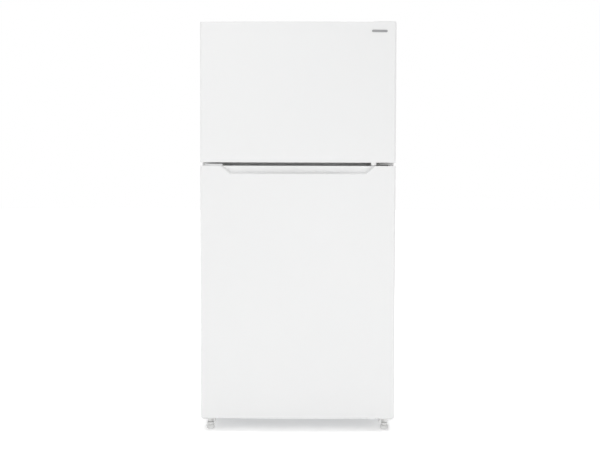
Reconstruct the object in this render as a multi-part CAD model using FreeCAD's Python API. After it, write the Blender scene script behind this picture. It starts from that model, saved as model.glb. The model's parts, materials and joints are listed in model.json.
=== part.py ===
"""Top freezer refrigerator, 24 cubic foot class: a foamed steel cabinet with two cavities, two foamed doors
hung on a shared right-hand hinge line, and everything that the cabinet and the doors carry.

Frame: millimetres, +X to the right seen from the front, +Y to the back, +Z up. The origin is on the floor,
in the middle of the object's box. Each piece has a function of its own; NODES at the end lists them.
"""

import FreeCAD
import Part
import math
import os

V = FreeCAD.Vector

# ---- driving dimensions ----
DOOR_HALF = 412.0            # half the doors' width
CROWN = 14.0                 # how far the middle of a door stands in front of its side edges
FRONT = -425.0               # foremost point of the doors
BACK = 425.0                 # rearmost point, the wall spacers
DOOR_EDGE = 62.0             # door thickness at its side edges
GASKET_GAP = 13.0            # between the doors' backs and the cabinet
DOOR_BOTTOM = 58.0
SPLIT_LOW = 1129.5           # top of the fresh food door
SPLIT_HIGH = 1143.5          # bottom of the freezer door
DOOR_TOP = 1731.0
CASE_HALF = 410.0
CASE_BOTTOM = 40.0
CASE_TOP = 1728.0

# ---- sheet and wall thicknesses ----
SKIN = 1.0                   # door sheet
SHEET = 1.2                  # cabinet sheet
LINER = 2.5                  # formed plastic liners
PLATE = 4.0                  # hinge plates
TRAY = 2.5                   # bins and drawers
TOUCH = 0.3                  # gap kept between pieces of different bodies

# ---- places worked out from them ----
EDGE_FRONT = FRONT + CROWN
DOOR_BACK = EDGE_FRONT + DOOR_EDGE
CASE_FRONT = DOOR_BACK + GASKET_GAP
CASE_BACK = BACK - 6
CROWN_RADIUS = (DOOR_HALF ** 2 + CROWN ** 2) / (2 * CROWN)
CROWN_CENTRE = FRONT + CROWN_RADIUS
CORNER = 10.0                # radius of the doors' front corners
CAP = 6.0                    # thickness of the doors' end caps
DOOR_RIM = 16.0              # width of the flange folded in at a door's back
FLANGE = 30.0                # width of the cabinet's front flange

# ---- hinge line ----
PIVOT_X = DOOR_HALF - 20
PIVOT_Y = DOOR_BACK - 31
PIN = 5.0
PIN_HOLE = PIN + 0.05
COLLAR = 10.0
BOSS = 12.0
BOSS_LONG = 22.0             # how far a bearing's boss goes into a door
TOP_LEAF = (CASE_TOP + 4.2, CASE_TOP + 4.2 + PLATE)
MID_LEAF = (SPLIT_LOW + 7, SPLIT_LOW + 7 + PLATE)
LOW_LEAF = (DOOR_BOTTOM - 8, DOOR_BOTTOM - 8 + PLATE)
PIN_DEPTH = 16.0             # how far a hinge pin goes into a door
BORE_DEPTH = PIN_DEPTH + 2
SCREW = 2.6                  # radius of the screw holes
HEAD = 4.6                   # radius of the screws' heads

# ---- cavities: half width, back, floor, ceiling ----
FRESH = (361.0, 350.0, 112.0, 1105.0)
FREEZER = (351.0, 335.0, 1168.0, 1668.0)
STEP_BACK = 140.0            # back of the fresh food cavity in front of the machine compartment
STEP_TOP = 345.0
MACHINE_FRONT = 190.0        # the machine compartment behind and under the fresh food cavity
MACHINE_TOP = 290.0
DECK = 1.5
LIP_LOW = FRESH[2] - 22      # lower edge of the fresh food liner's front lip
MULLION = (FRESH[3] + 7, FREEZER[2] - 7)
LONG_ROUND = 14.0            # radius of the cavities' long edges

# ---- doors' inner faces ----
DYKE_REACH = DOOR_BACK + 44  # back of the raised ring on a door's liner
DYKE_INSET = 18.0            # between the ring and the cavity's sides
DYKE_WIDTH = 30.0
DYKE_END = 12.0              # between the ring and the cavity's floor and ceiling
BIN_BACK = DOOR_BACK + 1
BIN_FRONT = BIN_BACK + 108
GASKET_OUT = DOOR_HALF - 22  # outer edge of the seals, just inside the hinge line
GASKET_WIDE = 16.0
GASKET_EDGE = CAP            # between the seals and the doors' ends

# ---- inside the fresh food cavity ----
SHELF_FRONT = -165.0
SHELF_HALF = FRESH[0] - 3
SHELF_THICK = 12.0
SHELF_RIM = 18.0
GLASS = 4.0
UPPER_SHELF = 812.0          # tops of the shelves
LOWER_SHELF = 590.0
CRISPER_SHELF = 316.0
DRAWER_TOP = 290.0
RAIL_THICK = 3.0             # drawer rails and the flanges that hang on them
DRAWER_BOTTOM = 118.0

# ---- feet ----
LEG_X = 373.0
LEG_Y = -366.0
FOOT = 17.0                  # radius of a leg's moulded foot
FOOT_TOP = 31.0              # where a leg's thread starts
THREADS = 13
PITCH = 1.75
THREAD = 6.0                 # radius over the thread's crests
THREAD_ROOT = 5.4
ROLLER_X = 330.0
ROLLER_Y = 340.0
ROLLER = 22.0


def box(x0, x1, y0, y1, z0, z1):
    """A box between two opposite corners."""
    return Part.makeBox(x1 - x0, y1 - y0, z1 - z0, V(x0, y0, z0))


def rod(radius, start, end):
    """A cylinder from one point to another."""
    a, b = V(*start), V(*end)
    return Part.makeCylinder(radius, (b - a).Length, a, b - a)


def prism(points, lift):
    """A flat outline, given as points, pushed along a direction."""
    loop = [V(*p) for p in points]
    return Part.Face(Part.makePolygon(loop + loop[:1])).extrude(V(*lift))


def turned(profile, centre):
    """A solid of revolution about a vertical line: profile holds (radius, height) pairs."""
    loop = [V(r, 0, z) for r, z in profile]
    face = Part.Face(Part.makePolygon(loop + loop[:1]))
    solid = face.revolve(V(0, 0, 0), V(0, 0, 1), 360)
    solid.translate(V(*centre))
    return solid


def fused(shapes):
    """One solid from several that overlap or touch."""
    whole = shapes[0].fuse(shapes[1:]) if len(shapes) > 1 else shapes[0]
    return whole.removeSplitter()


def rounded(solid, radius, keep):
    """A copy of solid with the edges that keep() picks rounded."""
    edges = [e for e in solid.Edges if keep(e)]
    return solid.makeFillet(radius, edges) if edges else solid


def along(edge, axis):
    """Whether a straight edge runs along an axis, 0, 1 or 2."""
    a, b = edge.Vertexes[0].Point, edge.Vertexes[-1].Point
    spans = [abs(b.x - a.x), abs(b.y - a.y), abs(b.z - a.z)]
    return spans[axis] > 1 and max(s for i, s in enumerate(spans) if i != axis) < 0.01


def at_depth(edge, y):
    """Whether a whole edge lies in the plane of that y."""
    return all(abs(v.Point.y - y) < 0.01 for v in edge.Vertexes) and edge.BoundBox.YLength < 0.01


def tray(x0, x1, y0, y1, z0, z1, wall=TRAY):
    """An open-topped box with walls of one thickness and rounded upright corners."""
    outer = rounded(box(x0, x1, y0, y1, z0, z1), 8, lambda e: along(e, 2))
    inner = box(x0 + wall, x1 - wall, y0 + wall, y1 - wall, z0 + wall, z1 + 5)
    inner = rounded(inner, 8 - wall, lambda e: along(e, 2))
    return outer.cut(inner)


# ---- cabinet ----

def outer_case():
    """The steel wrapper: two sides and the top, with a flange folded in round the front."""
    inside = CASE_HALF - SHEET
    wrap = box(-CASE_HALF, CASE_HALF, CASE_FRONT, CASE_BACK, CASE_BOTTOM, CASE_TOP)
    wrap = wrap.cut(box(-inside, inside, CASE_FRONT + SHEET, CASE_BACK, CASE_BOTTOM, CASE_TOP - SHEET))
    mouth = CASE_HALF - FLANGE
    return wrap.cut(box(-mouth, mouth, CASE_FRONT, CASE_FRONT + SHEET, CASE_BOTTOM, CASE_TOP - FLANGE))


def back_panel():
    """The flat steel back above the machine compartment."""
    inside = CASE_HALF - SHEET
    return box(-inside, inside, CASE_BACK - SHEET, CASE_BACK, MACHINE_TOP + DECK, CASE_TOP - SHEET)


def base_deck():
    """The folded bottom: flat under the cavity, then up and over the machine compartment."""
    inside = CASE_HALF - SHEET
    back = CASE_BACK - SHEET
    outline = [
        (CASE_FRONT + SHEET, CASE_BOTTOM), (MACHINE_FRONT, CASE_BOTTOM), (MACHINE_FRONT, MACHINE_TOP),
        (back, MACHINE_TOP), (back, MACHINE_TOP + DECK), (MACHINE_FRONT - DECK, MACHINE_TOP + DECK),
        (MACHINE_FRONT - DECK, CASE_BOTTOM + DECK), (CASE_FRONT + SHEET, CASE_BOTTOM + DECK),
    ]
    deck = prism([(-inside, y, z) for y, z in outline], (2 * inside, 0, 0))
    mouth = CASE_HALF - FLANGE
    lip = box(-mouth, mouth, CASE_FRONT, CASE_FRONT + SHEET, CASE_BOTTOM, LIP_LOW)
    return fused([deck, lip])


def cavity(size, step):
    """The empty space of a compartment, with rounded long edges. step narrows its lower part."""
    half, back, floor, ceiling = size
    if not step:
        whole = box(-half, half, CASE_FRONT - 1, back, floor, ceiling)
        return rounded(whole, LONG_ROUND, lambda e: along(e, 1))
    upper = box(-half, half, CASE_FRONT - 1, back, STEP_TOP, ceiling)
    upper = rounded(upper, LONG_ROUND, lambda e: along(e, 1) and e.CenterOfMass.z > ceiling - 1)
    lower = box(-half, half, CASE_FRONT - 1, STEP_BACK, floor, STEP_TOP)
    lower = rounded(lower, LONG_ROUND, lambda e: along(e, 1) and e.CenterOfMass.z < floor + 1)
    return fused([upper, lower])


def liner_block(size, step):
    """The outside of a compartment's liner, without its front lip."""
    half, back, floor, ceiling = size
    low = STEP_TOP if step else floor
    half += LINER
    front = CASE_FRONT + LINER
    block = [box(-half, half, front, back + LINER, low - LINER, ceiling + LINER)]
    if step:
        block.append(box(-half, half, front, STEP_BACK + LINER, floor - LINER, STEP_TOP))
    return fused(block)


def liner(size, step, lip_low, lip_high):
    """A formed plastic liner: five walls and a lip over the front of the cabinet."""
    mouth = CASE_HALF - FLANGE
    lip = box(-mouth, mouth, CASE_FRONT, CASE_FRONT + LINER, lip_low, lip_high)
    return fused([liner_block(size, step), lip]).cut(cavity(size, step))


def fresh_food_liner():
    return liner(FRESH, True, LIP_LOW, MULLION[0])


def freezer_liner():
    return liner(FREEZER, False, MULLION[1], CASE_TOP - FLANGE)


def cabinet_foam():
    """The foam between the steel and the liners."""
    inside = CASE_HALF - SHEET
    block = box(-inside, inside, CASE_FRONT + LINER, CASE_BACK - SHEET, CASE_BOTTOM + DECK, CASE_TOP - SHEET)
    machine = box(-inside, inside, MACHINE_FRONT - DECK, CASE_BACK, CASE_BOTTOM, MACHINE_TOP + DECK)
    return block.cut(fused([liner_block(FRESH, True), machine])).cut(liner_block(FREEZER, False))


def mullion_plate():
    """The steel strip across the front between the two cavities, where both doors' seals meet it."""
    mouth = CASE_HALF - FLANGE
    return box(-mouth, mouth, CASE_FRONT, CASE_FRONT + SHEET, *MULLION)


# ---- hinges ----

TOP_HOLES = [(340, -300), (396, -300), (340, -250), (396, -250)]
MID_HOLES = [(305, MID_LEAF[0] - 5), (345, MID_LEAF[0] - 5), (385, MID_LEAF[0] - 5)]
LOW_HOLES = [(364, -310), (398, -310), (364, -262), (398, -262)]


def top_hinge():
    """Plate on the cabinet's top, stepped up over the freezer door, with the pin that the door hangs on."""
    plate = box(326, 408, -330, -230, CASE_TOP, CASE_TOP + PLATE)
    riser = box(346, 408, -334, -330, CASE_TOP, TOP_LEAF[1])
    leaf = prism(
        [(346, -332, TOP_LEAF[0]), (408, -332, TOP_LEAF[0]), (408, -380, TOP_LEAF[0]),
         (400, -389, TOP_LEAF[0]), (384, -389, TOP_LEAF[0])],
        (0, 0, PLATE),
    )
    pin = rod(PIN, (PIVOT_X, PIVOT_Y, TOP_LEAF[1]), (PIVOT_X, PIVOT_Y, DOOR_TOP - PIN_DEPTH))
    holes = [rod(SCREW, (x, y, CASE_TOP - 1), (x, y, CASE_TOP + PLATE + 1)) for x, y in TOP_HOLES]
    return fused([plate, riser, leaf, pin]).cut(holes)


def top_hinge_cover():
    """Low moulded cover over the top hinge, open below."""
    wall = 2.0
    top = TOP_LEAF[1] + TOUCH + wall
    outer = box(318, 411, -392, -222, CASE_TOP, top)
    outer = rounded(outer, 8, lambda e: along(e, 2))
    outer = rounded(outer, 1.8, lambda e: abs(e.BoundBox.ZMin - top) < 0.01 and e.BoundBox.ZLength < 0.01)
    inner = box(318 + wall, 411 - wall, -392 + wall, -222 - wall, CASE_TOP - 1, top - wall)
    clearance = box(300, 430, -400, CASE_FRONT, CASE_TOP - 1, DOOR_TOP + 1)
    return outer.cut(inner).cut(clearance)


def center_hinge():
    """Bracket on the strip between the cavities: its leaf carries a pin up and a pin down."""
    flange = box(292, 406, CASE_FRONT - PLATE, CASE_FRONT, MID_LEAF[0] - 10, MID_LEAF[1] + 7)
    leaf = prism(
        [(300, CASE_FRONT - PLATE, MID_LEAF[0]), (306, -374, MID_LEAF[0]), (372, -395, MID_LEAF[0]),
         (404, -395, MID_LEAF[0]), (408, CASE_FRONT - PLATE, MID_LEAF[0])],
        (0, 0, PLATE),
    )
    pin = rod(PIN, (PIVOT_X, PIVOT_Y, SPLIT_LOW - PIN_DEPTH), (PIVOT_X, PIVOT_Y, SPLIT_HIGH + PIN_DEPTH))
    holes = [rod(SCREW, (x, CASE_FRONT - 8, z), (x, CASE_FRONT + 1, z)) for x, z in MID_HOLES]
    return fused([flange, leaf, pin]).cut(holes)


def foot_bracket(side, with_pin):
    """Stepped plate under a front corner for a levelling leg; the right one has the bottom hinge pin."""
    plate = box(352, 408, -394, CASE_FRONT - PLATE, *LOW_LEAF)
    plate = rounded(plate, 8, lambda e: along(e, 2) and e.CenterOfMass.y < -390)
    wall = box(352, 356, -390, CASE_FRONT - PLATE, 33, LOW_LEAF[1])
    rise = box(352, 408, CASE_FRONT - PLATE, CASE_FRONT, CASE_BOTTOM - PLATE, LOW_LEAF[1])
    under = box(352, 408, CASE_FRONT - PLATE, -236, CASE_BOTTOM - PLATE, CASE_BOTTOM)
    nut = prism(
        [(LEG_X + 13 * math.cos(a), LEG_Y + 13 * math.sin(a), 34) for a in
         (math.radians(30 + 60 * i) for i in range(6))],
        (0, 0, LOW_LEAF[0] - 34),
    )
    whole = [plate, wall, rise, under, nut]
    if with_pin:
        whole.append(rod(PIN, (PIVOT_X, PIVOT_Y, LOW_LEAF[0]), (PIVOT_X, PIVOT_Y, DOOR_BOTTOM + PIN_DEPTH)))
    holes = [rod(SCREW, (x, y, 30), (x, y, CASE_BOTTOM + 1)) for x, y in LOW_HOLES]
    holes.append(rod(THREAD + 0.1, (LEG_X, LEG_Y, 30), (LEG_X, LEG_Y, LOW_LEAF[1] + 1)))
    bracket = fused(whole).cut(holes)
    return bracket if side > 0 else bracket.mirror(V(0, 0, 0), V(1, 0, 0))


def bottom_hinge():
    return foot_bracket(1, True)


def leg_bracket():
    return foot_bracket(-1, False)


def screw(point, direction, length):
    """A round-headed screw: its head stands on point, and its shank runs against direction."""
    p, d = V(*point), V(*direction)
    head = Part.makeCylinder(HEAD, 2.6, p, d)
    shank = Part.makeCylinder(SCREW - 0.1, length, p - d * length, d)
    return head.fuse(shank).removeSplitter()


COVER_BACK = CASE_BACK - 1
GLAND = (360.0, 238.0)
COVER_SCREWS = [(x, z) for z in (56.0, 278.0) for x in (-392.0, -130.0, 130.0, 392.0)]


def screws():
    """Every visible screw, as separate solids: the hinges', the left bracket's and the rear cover's."""
    found = [screw((x, y, CASE_TOP + PLATE), (0, 0, 1), PLATE) for x, y in TOP_HOLES]
    found += [screw((x, CASE_FRONT - PLATE, z), (0, -1, 0), PLATE) for x, z in MID_HOLES]
    for side in (1, -1):
        found += [screw((side * x, y, CASE_BOTTOM - PLATE), (0, 0, -1), PLATE) for x, y in LOW_HOLES]
    found += [screw((x, COVER_BACK, z), (0, 1, 0), 2) for x, z in COVER_SCREWS]
    return Part.Compound(found)


# ---- feet ----

def leg(side):
    """Levelling leg: a moulded foot with a domed edge, a collar and a threaded steel stem."""
    x = side * LEG_X
    angles = [math.radians(15 * i) for i in range(7)]
    edge = 7.0
    dome = [(FOOT - edge + edge * math.sin(a), edge - edge * math.cos(a)) for a in angles]
    shoulder = [(FOOT, 16), (FOOT - 2, 19), (11, 20), (11, 24)]
    collar = [(14, 25), (14, 30), (13, FOOT_TOP), (0, FOOT_TOP)]
    foot = [(0, 0)] + dome + shoulder + collar
    body = turned(foot, (x, LEG_Y, 0))
    thread = [(0, FOOT_TOP)]
    for i in range(THREADS):
        z = FOOT_TOP + i * PITCH
        thread += [(THREAD_ROOT, z), (THREAD, z + 0.4 * PITCH), (THREAD, z + 0.6 * PITCH)]
    stem_top = FOOT_TOP + THREADS * PITCH
    thread += [(THREAD_ROOT, stem_top), (0, stem_top)]
    return fused([body, turned(thread, (x, LEG_Y, 0))])


def leg_left():
    return leg(-1)


def leg_right():
    return leg(1)


def roller(side):
    """Rear roller on a crosswise axle."""
    x = side * ROLLER_X
    tyre = rod(ROLLER, (x - 10, ROLLER_Y, ROLLER), (x + 10, ROLLER_Y, ROLLER))
    tyre = rounded(tyre, 2, lambda e: e.BoundBox.XLength < 0.01)
    return tyre.cut(rod(4.05, (x - 11, ROLLER_Y, ROLLER), (x + 11, ROLLER_Y, ROLLER)))


def roller_left():
    return roller(-1)


def roller_right():
    return roller(1)


# ---- machine compartment ----

def machine_tray():
    """Bottom plate of the machine compartment, with a well, a fork and an axle for each roller."""
    parts = [box(-407, 407, MACHINE_FRONT + 2, COVER_BACK - 2, CASE_BOTTOM, CASE_BOTTOM + 2)]
    for side in (-1, 1):
        x = side * ROLLER_X
        for cheek in (x - 14, x + 11):
            parts.append(box(cheek, cheek + 3, ROLLER_Y - 14, ROLLER_Y + 14, 12, CASE_BOTTOM))
        parts.append(rod(4, (x - 17, ROLLER_Y, ROLLER), (x + 17, ROLLER_Y, ROLLER)))
    air_way = box(-270, -116, MACHINE_FRONT + 14, 402, CASE_BOTTOM - 1, CASE_BOTTOM + 3)
    wells = [box(side * ROLLER_X - 11, side * ROLLER_X + 11, ROLLER_Y - 24, ROLLER_Y + 24, 39, 43)
             for side in (-1, 1)]
    return fused(parts).cut([air_way, *wells])


COMPRESSOR = (170.0, 300.0)
COMPRESSOR_FEET = [(sx * 78, sy * 46) for sx in (-1, 1) for sy in (-1, 1)]


def compressor():
    """Welded steel shell on a footplate, with its terminal box."""
    x, y = COMPRESSOR
    low, high, radius, crown = 62.0, 226.0, 68.0, 34.0
    wall = []
    for i in range(7):
        a = math.radians(15 * i)
        wall.append((radius * math.cos(a), high - crown + crown * math.sin(a)))
    under = [(radius * math.cos(a), low + crown - crown * math.sin(a)) for a in
             (math.radians(75 - 15 * i) for i in range(6))]
    shell = turned([(0, low)] + under + wall, (x, y, 0))
    seam = turned([(60, 150), (71, 150), (71, 156), (60, 156)], (x, y, 0))
    foot = box(x - 92, x + 92, y - 58, y + 58, 58, 62)
    foot = rounded(foot, 14, lambda e: along(e, 2))
    holes = [rod(5, (x + dx, y + dy, 50), (x + dx, y + dy, 70)) for dx, dy in COMPRESSOR_FEET]
    neck = rod(30, (x, y, 60), (x, y, 80))
    terminal = box(x + 55, x + 92, y - 26, y + 26, 120, 180)
    return fused([shell, seam, foot, neck, terminal]).cut(holes)


def compressor_mounts():
    """Four rubber bushes under the compressor's footplate."""
    x, y = COMPRESSOR
    waist = [(11, 42), (11, 47), (8, 48), (8, 52), (11, 53), (11, 58)]
    profile = [(0, 42)] + waist + [(4.9, 58), (4.9, 66), (0, 66)]
    return Part.Compound([turned(profile, (x + dx, y + dy, 0)) for dx, dy in COMPRESSOR_FEET])


CONDENSER = (-392.0, -130.0, 222.0, 392.0, 112.0, 262.0)
CONDENSER_ROWS = [(y, z) for y in (250.0, 292.0, 334.0, 376.0) for z in (132.0, 164.0, 196.0, 228.0)]


def finned_coil(size, rows, tube, pitch, axis_end):
    """A block of thin fins on straight tubes that run along X and stand out of both ends."""
    x0, x1, y0, y1, z0, z1 = size
    bores = [rod(tube, (x0 - axis_end, y, z), (x1 + axis_end, y, z)) for y, z in rows]
    fins = []
    count = int((x1 - x0) / pitch) + 1
    for i in range(count):
        x = x0 + i * pitch
        fins.append(box(x, x + 0.8, y0, y1, z0, z1).cut(bores))
    return Part.Compound(fins + bores)


def condenser():
    return finned_coil(CONDENSER, CONDENSER_ROWS, 4.0, 11.0, 6.0)


CONDENSER_FAN = (-70.0, 305.0, 150.0)
EVAPORATOR_FAN = 1530.0      # height of the fan in the freezer's back
EVAPORATOR_COVER = 250.0     # front of the panel across the back of the freezer


def fan(radius, hub, depth, blades):
    """A moulded axial fan centred on the origin, facing along +X."""
    parts = [rod(hub, (0, 0, 0), (depth, 0, 0))]
    for i in range(blades):
        blade = box(depth / 2 - 1, depth / 2 + 1, hub - 3, radius, -hub * 0.75, hub * 0.75)
        blade = rounded(blade, hub * 0.45, lambda e: along(e, 0) and e.CenterOfMass.y > hub)
        blade.rotate(V(depth / 2, 0, 0), V(0, 1, 0), 32)
        blade.rotate(V(0, 0, 0), V(1, 0, 0), 360 * i / blades)
        parts.append(blade)
    whole = fused(parts)
    return whole.cut(rod(2.55, (-1, 0, 0), (depth + 1, 0, 0)))


def condenser_fan():
    blades = fan(58, 16, 20, 5)
    blades.translate(V(CONDENSER_FAN[0] - 26, CONDENSER_FAN[1], CONDENSER_FAN[2]))
    return blades


def fan_shroud():
    """Plate with a round mouth behind the condenser, and the motor on three arms behind the fan."""
    x, y, z = CONDENSER_FAN
    plate = box(x - 34, x - 31, 214, 396, CASE_BOTTOM + 2, 252).cut(rod(62, (x - 40, y, z), (x, y, z)))
    rim = rod(66, (x - 31, y, z), (x - 16, y, z)).cut(rod(62, (x - 40, y, z), (x, y, z)))
    motor = rod(24, (x + 2, y, z), (x + 40, y, z))
    shaft = rod(2.5, (x - 24, y, z), (x + 2, y, z))
    parts = [plate, rim, motor, shaft]
    for angle in (90, 210, 330):
        arm = box(x + 4, x + 8, 18, 76, -5, 5)
        post = box(x - 32, x + 8, 70, 76, -5, 5)
        joined = arm.fuse(post)
        joined.rotate(V(0, 0, 0), V(1, 0, 0), angle)
        joined.translate(V(0, y, z))
        parts.append(joined)
    return fused(parts)


def drain_pan():
    """Shallow pan under the condenser that catches defrost water."""
    return tray(-398, -116, MACHINE_FRONT + 20, 396, 62, 94, 2.0)


def rear_cover():
    """Flat cover over the machine compartment, with rows of slots."""
    cover = box(-404, 404, COVER_BACK - 2, COVER_BACK, 46, 288)
    cuts = [rod(SCREW, (x, COVER_BACK - 3, z), (x, COVER_BACK + 1, z)) for x, z in COVER_SCREWS]
    for middle in (-250.0, 40.0, 235.0):
        for i in range(9):
            z = 92 + i * 19
            cuts.append(box(middle - 70, middle + 70, COVER_BACK - 3, COVER_BACK + 1, z, z + 7))
    x, z = GLAND
    cuts.append(rod(11.5, (x, COVER_BACK - 3, z), (x, COVER_BACK + 1, z)))
    return cover.cut(cuts)


def cord_gland():
    """Moulded bush in the rear cover where the power cord would pass."""
    x, z = GLAND
    y = COVER_BACK
    bush = fused([rod(11.3, (x, y - 12, z), (x, y, z)), rod(15, (x, y, z), (x, y + 5, z))])
    return bush.cut(rod(4.5, (x, y - 13, z), (x, y + 6, z)))


def wall_spacers():
    """Two stand-offs that keep the back off the wall."""
    return Part.Compound([rod(16, (x, CASE_BACK, 1640), (x, BACK, 1640)) for x in (-300, 300)])


# ---- inside the freezer ----

EVAPORATOR = (-300.0, 300.0, 268.0, 326.0, 1210.0, 1380.0)
EVAPORATOR_ROWS = [(y, z) for y in (284.0, 310.0) for z in (1232.0, 1268.0, 1304.0, 1340.0, 1366.0)]


def evaporator():
    return finned_coil(EVAPORATOR, EVAPORATOR_ROWS, 4.0, 15.0, 8.0)


def evaporator_cover():
    """Panel across the back of the freezer, with the fan's mouth, return slots, and the motor on its bar."""
    half, _, floor, ceiling = FREEZER
    y = EVAPORATOR_COVER
    panel = box(-half + 1, half - 1, y, y + 3, floor + 1, ceiling - 1)
    panel = rounded(panel, 14, lambda e: along(e, 1))
    cuts = [rod(56, (0, y - 1, EVAPORATOR_FAN), (0, y + 4, EVAPORATOR_FAN))]
    for i in range(16):
        x = -300 + i * 40
        cuts.append(box(x - 12, x + 12, y - 1, y + 4, floor + 14, floor + 24))
    return fused([panel.cut(cuts), evaporator_motor()])


def evaporator_fan():
    blades = fan(50, 15, 18, 5)
    blades.rotate(V(0, 0, 0), V(0, 0, 1), 90)
    blades.translate(V(0, EVAPORATOR_COVER + 10, EVAPORATOR_FAN))
    return blades


def evaporator_motor():
    """Motor on a cross bar behind the freezer's back panel."""
    y, z = EVAPORATOR_COVER, EVAPORATOR_FAN
    parts = [rod(22, (0, y + 34, z), (0, y + 60, z)), rod(2.5, (0, y + 12, z), (0, y + 34, z))]
    parts.append(box(-74, 74, y + 46, y + 50, z - 8, z + 8))
    for x in (-74, 68):
        parts.append(box(x, x + 6, y + 3, y + 50, z - 8, z + 8))
    return fused(parts)


def freezer_shelf():
    """Wire shelf: two side rods and two cross rods, with close wires running front to back."""
    half, z = FREEZER[0] - 6, 1402.0
    front, back = SHELF_FRONT, EVAPORATOR_COVER - 4
    frame = [rod(3, (-half, y, z), (half, y, z)) for y in (front + 3, (front + back) / 2, back - 3)]
    frame += [rod(3, (x, front, z), (x, back, z)) for x in (-half + 3, half - 3)]
    wires = []
    count = 26
    margin = 27.0
    for i in range(count):
        x = -half + margin + (2 * half - 2 * margin) * i / (count - 1)
        wires.append(rod(1.6, (x, front, z + 4), (x, back, z + 4)))
    return fused(frame + wires)


def ice_bin():
    """Deep bin on the freezer's floor."""
    body = tray(-335, -95, -150, 215, FREEZER[2] + TOUCH, FREEZER[2] + 120)
    grip = box(-265, -165, -162, -150, FREEZER[2] + 104, FREEZER[2] + 116)
    grip = rounded(grip, 4, lambda e: along(e, 2) and e.CenterOfMass.y < -160)
    return fused([body, grip])


# ---- inside the fresh food cavity ----

def shelf_ring(top, back):
    """The moulded rim of a glass shelf, rebated for the glass, with a deeper nose in front."""
    half = SHELF_HALF
    ring = box(-half, half, SHELF_FRONT, back, top - SHELF_THICK, top)
    nose = box(-half, half, SHELF_FRONT, SHELF_FRONT + 10, top - 20, top)
    nose = rounded(nose, 4, lambda e: along(e, 0) and e.CenterOfMass.y < SHELF_FRONT + 1)
    ring = ring.cut(box(-half, half, SHELF_FRONT, SHELF_FRONT + 10, top - 21, top + 1))
    ring = fused([ring, nose])
    mouth = box(-half + SHELF_RIM, half - SHELF_RIM, SHELF_FRONT + 30, back - SHELF_RIM, top - 30, top + 1)
    return ring.cut(mouth).cut(shelf_pane(top, back))


def shelf_pane(top, back):
    """The glass that lies in a shelf's rim."""
    half = SHELF_HALF - SHELF_RIM + 6
    return box(-half, half, SHELF_FRONT + 24, back - SHELF_RIM + 6, top - GLASS, top)


def shelf_frames():
    """Rims of the two shelves; the lower one carries the rails of the deli drawer."""
    back = FRESH[1] - 15
    upper = shelf_ring(UPPER_SHELF, back)
    low = LOWER_SHELF - SHELF_THICK
    hangers = []
    for x in (DELI[0] - 3, DELI[1]):
        hangers.append(box(x, x + 3, SHELF_FRONT + 12, DELI_BACK, low - 22, low))
    hangers.append(box(DELI[0], DELI[0] + 8, SHELF_FRONT + 12, DELI_BACK, low - 22, low - 19))
    hangers.append(box(DELI[1] - 8, DELI[1], SHELF_FRONT + 12, DELI_BACK, low - 22, low - 19))
    for x in (DELI[0] - 3, DELI[1] - 27):
        hangers.append(box(x, x + 30, SHELF_FRONT + 12, SHELF_FRONT + 30, low - 2, low))
        hangers.append(box(x, x + 30, DELI_BACK - 20, DELI_BACK, low - 2, low))
    bridge = box(DELI[0] - 3, DELI[1] + 3, DELI_BACK - 20, DELI_BACK, low - 2, low)
    side_bridge = box(-SHELF_HALF + 6.5, DELI[0], SHELF_FRONT + 12, DELI_BACK, low - 2, low)
    right_bridge = box(DELI[1], DELI[1] + 24, SHELF_FRONT + 12, FRESH[1] - 20, low - 2, low)
    lower = fused([shelf_ring(LOWER_SHELF, back), *hangers, bridge, side_bridge, right_bridge])
    return Part.Compound([upper, lower])


def shelf_glass():
    """The three panes, one for each shelf and one over the crispers."""
    back = FRESH[1] - 15
    panes = [shelf_pane(top, back) for top in (UPPER_SHELF, LOWER_SHELF)]
    return Part.Compound(panes + [shelf_pane(CRISPER_SHELF, STEP_BACK - 6)])


def crisper_cover():
    """Rim over the crispers, with the rails that the drawers hang on."""
    half, back = SHELF_HALF, STEP_BACK - 6
    low = CRISPER_SHELF - SHELF_THICK
    parts = [shelf_ring(CRISPER_SHELF, back)]
    front = SHELF_FRONT + 14
    parts.append(box(-3, 3, front, back, DRAWER_TOP - 9, low + 2))
    parts.append(box(-12, 12, front, back, DRAWER_TOP - 9, DRAWER_TOP - 6))
    parts.append(box(-12, 12, SHELF_FRONT + 4, back, low, low + 7))
    for side in (-1, 1):
        web = sorted((side * (half - 7), side * (half - 3)))
        ledge = sorted((side * (half - 14), side * (half - 7)))
        parts.append(box(web[0], web[1], front, back, DRAWER_TOP - 9, low + 2))
        parts.append(box(ledge[0], ledge[1], front, back, DRAWER_TOP - 9, DRAWER_TOP - 6))
    return fused(parts)


def drawer(x0, x1, y0, y1, z0, z1, hang):
    """A drawer with a flange along both sides that hangs on rails, and a finger lip across its front."""
    body = tray(x0, x1, y0, y1, z0, z1)
    parts = [body]
    parts.append(box(x0 - hang, x0 + 1, y0 + 18, y1 - 8, z1 - RAIL_THICK, z1))
    parts.append(box(x1 - 1, x1 + hang, y0 + 18, y1 - 8, z1 - RAIL_THICK, z1))
    lip = box(x0 + 40, x1 - 40, y0 - 7, y0 + 1, z1 - 16, z1 - 3)
    lip = rounded(lip, 3, lambda e: along(e, 0) and e.CenterOfMass.y < y0 - 6)
    groove = box(x0 + 44, x1 - 44, y0 - 4.5, y0, z1 - 17, z1 - 6)
    parts.append(lip.cut(groove))
    return fused(parts)


CRISPER_FRONT = SHELF_FRONT + 8
CRISPER_BACK = STEP_BACK - 14


def crisper_left():
    z1 = DRAWER_TOP - RAIL_THICK + TOUCH
    return drawer(-343, -13, CRISPER_FRONT, CRISPER_BACK, DRAWER_BOTTOM, z1, 6)


def crisper_right():
    z1 = DRAWER_TOP - RAIL_THICK + TOUCH
    return drawer(13, 343, CRISPER_FRONT, CRISPER_BACK, DRAWER_BOTTOM, z1, 6)


DELI = (-330.0, -10.0)
DELI_BACK = 200.0


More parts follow.
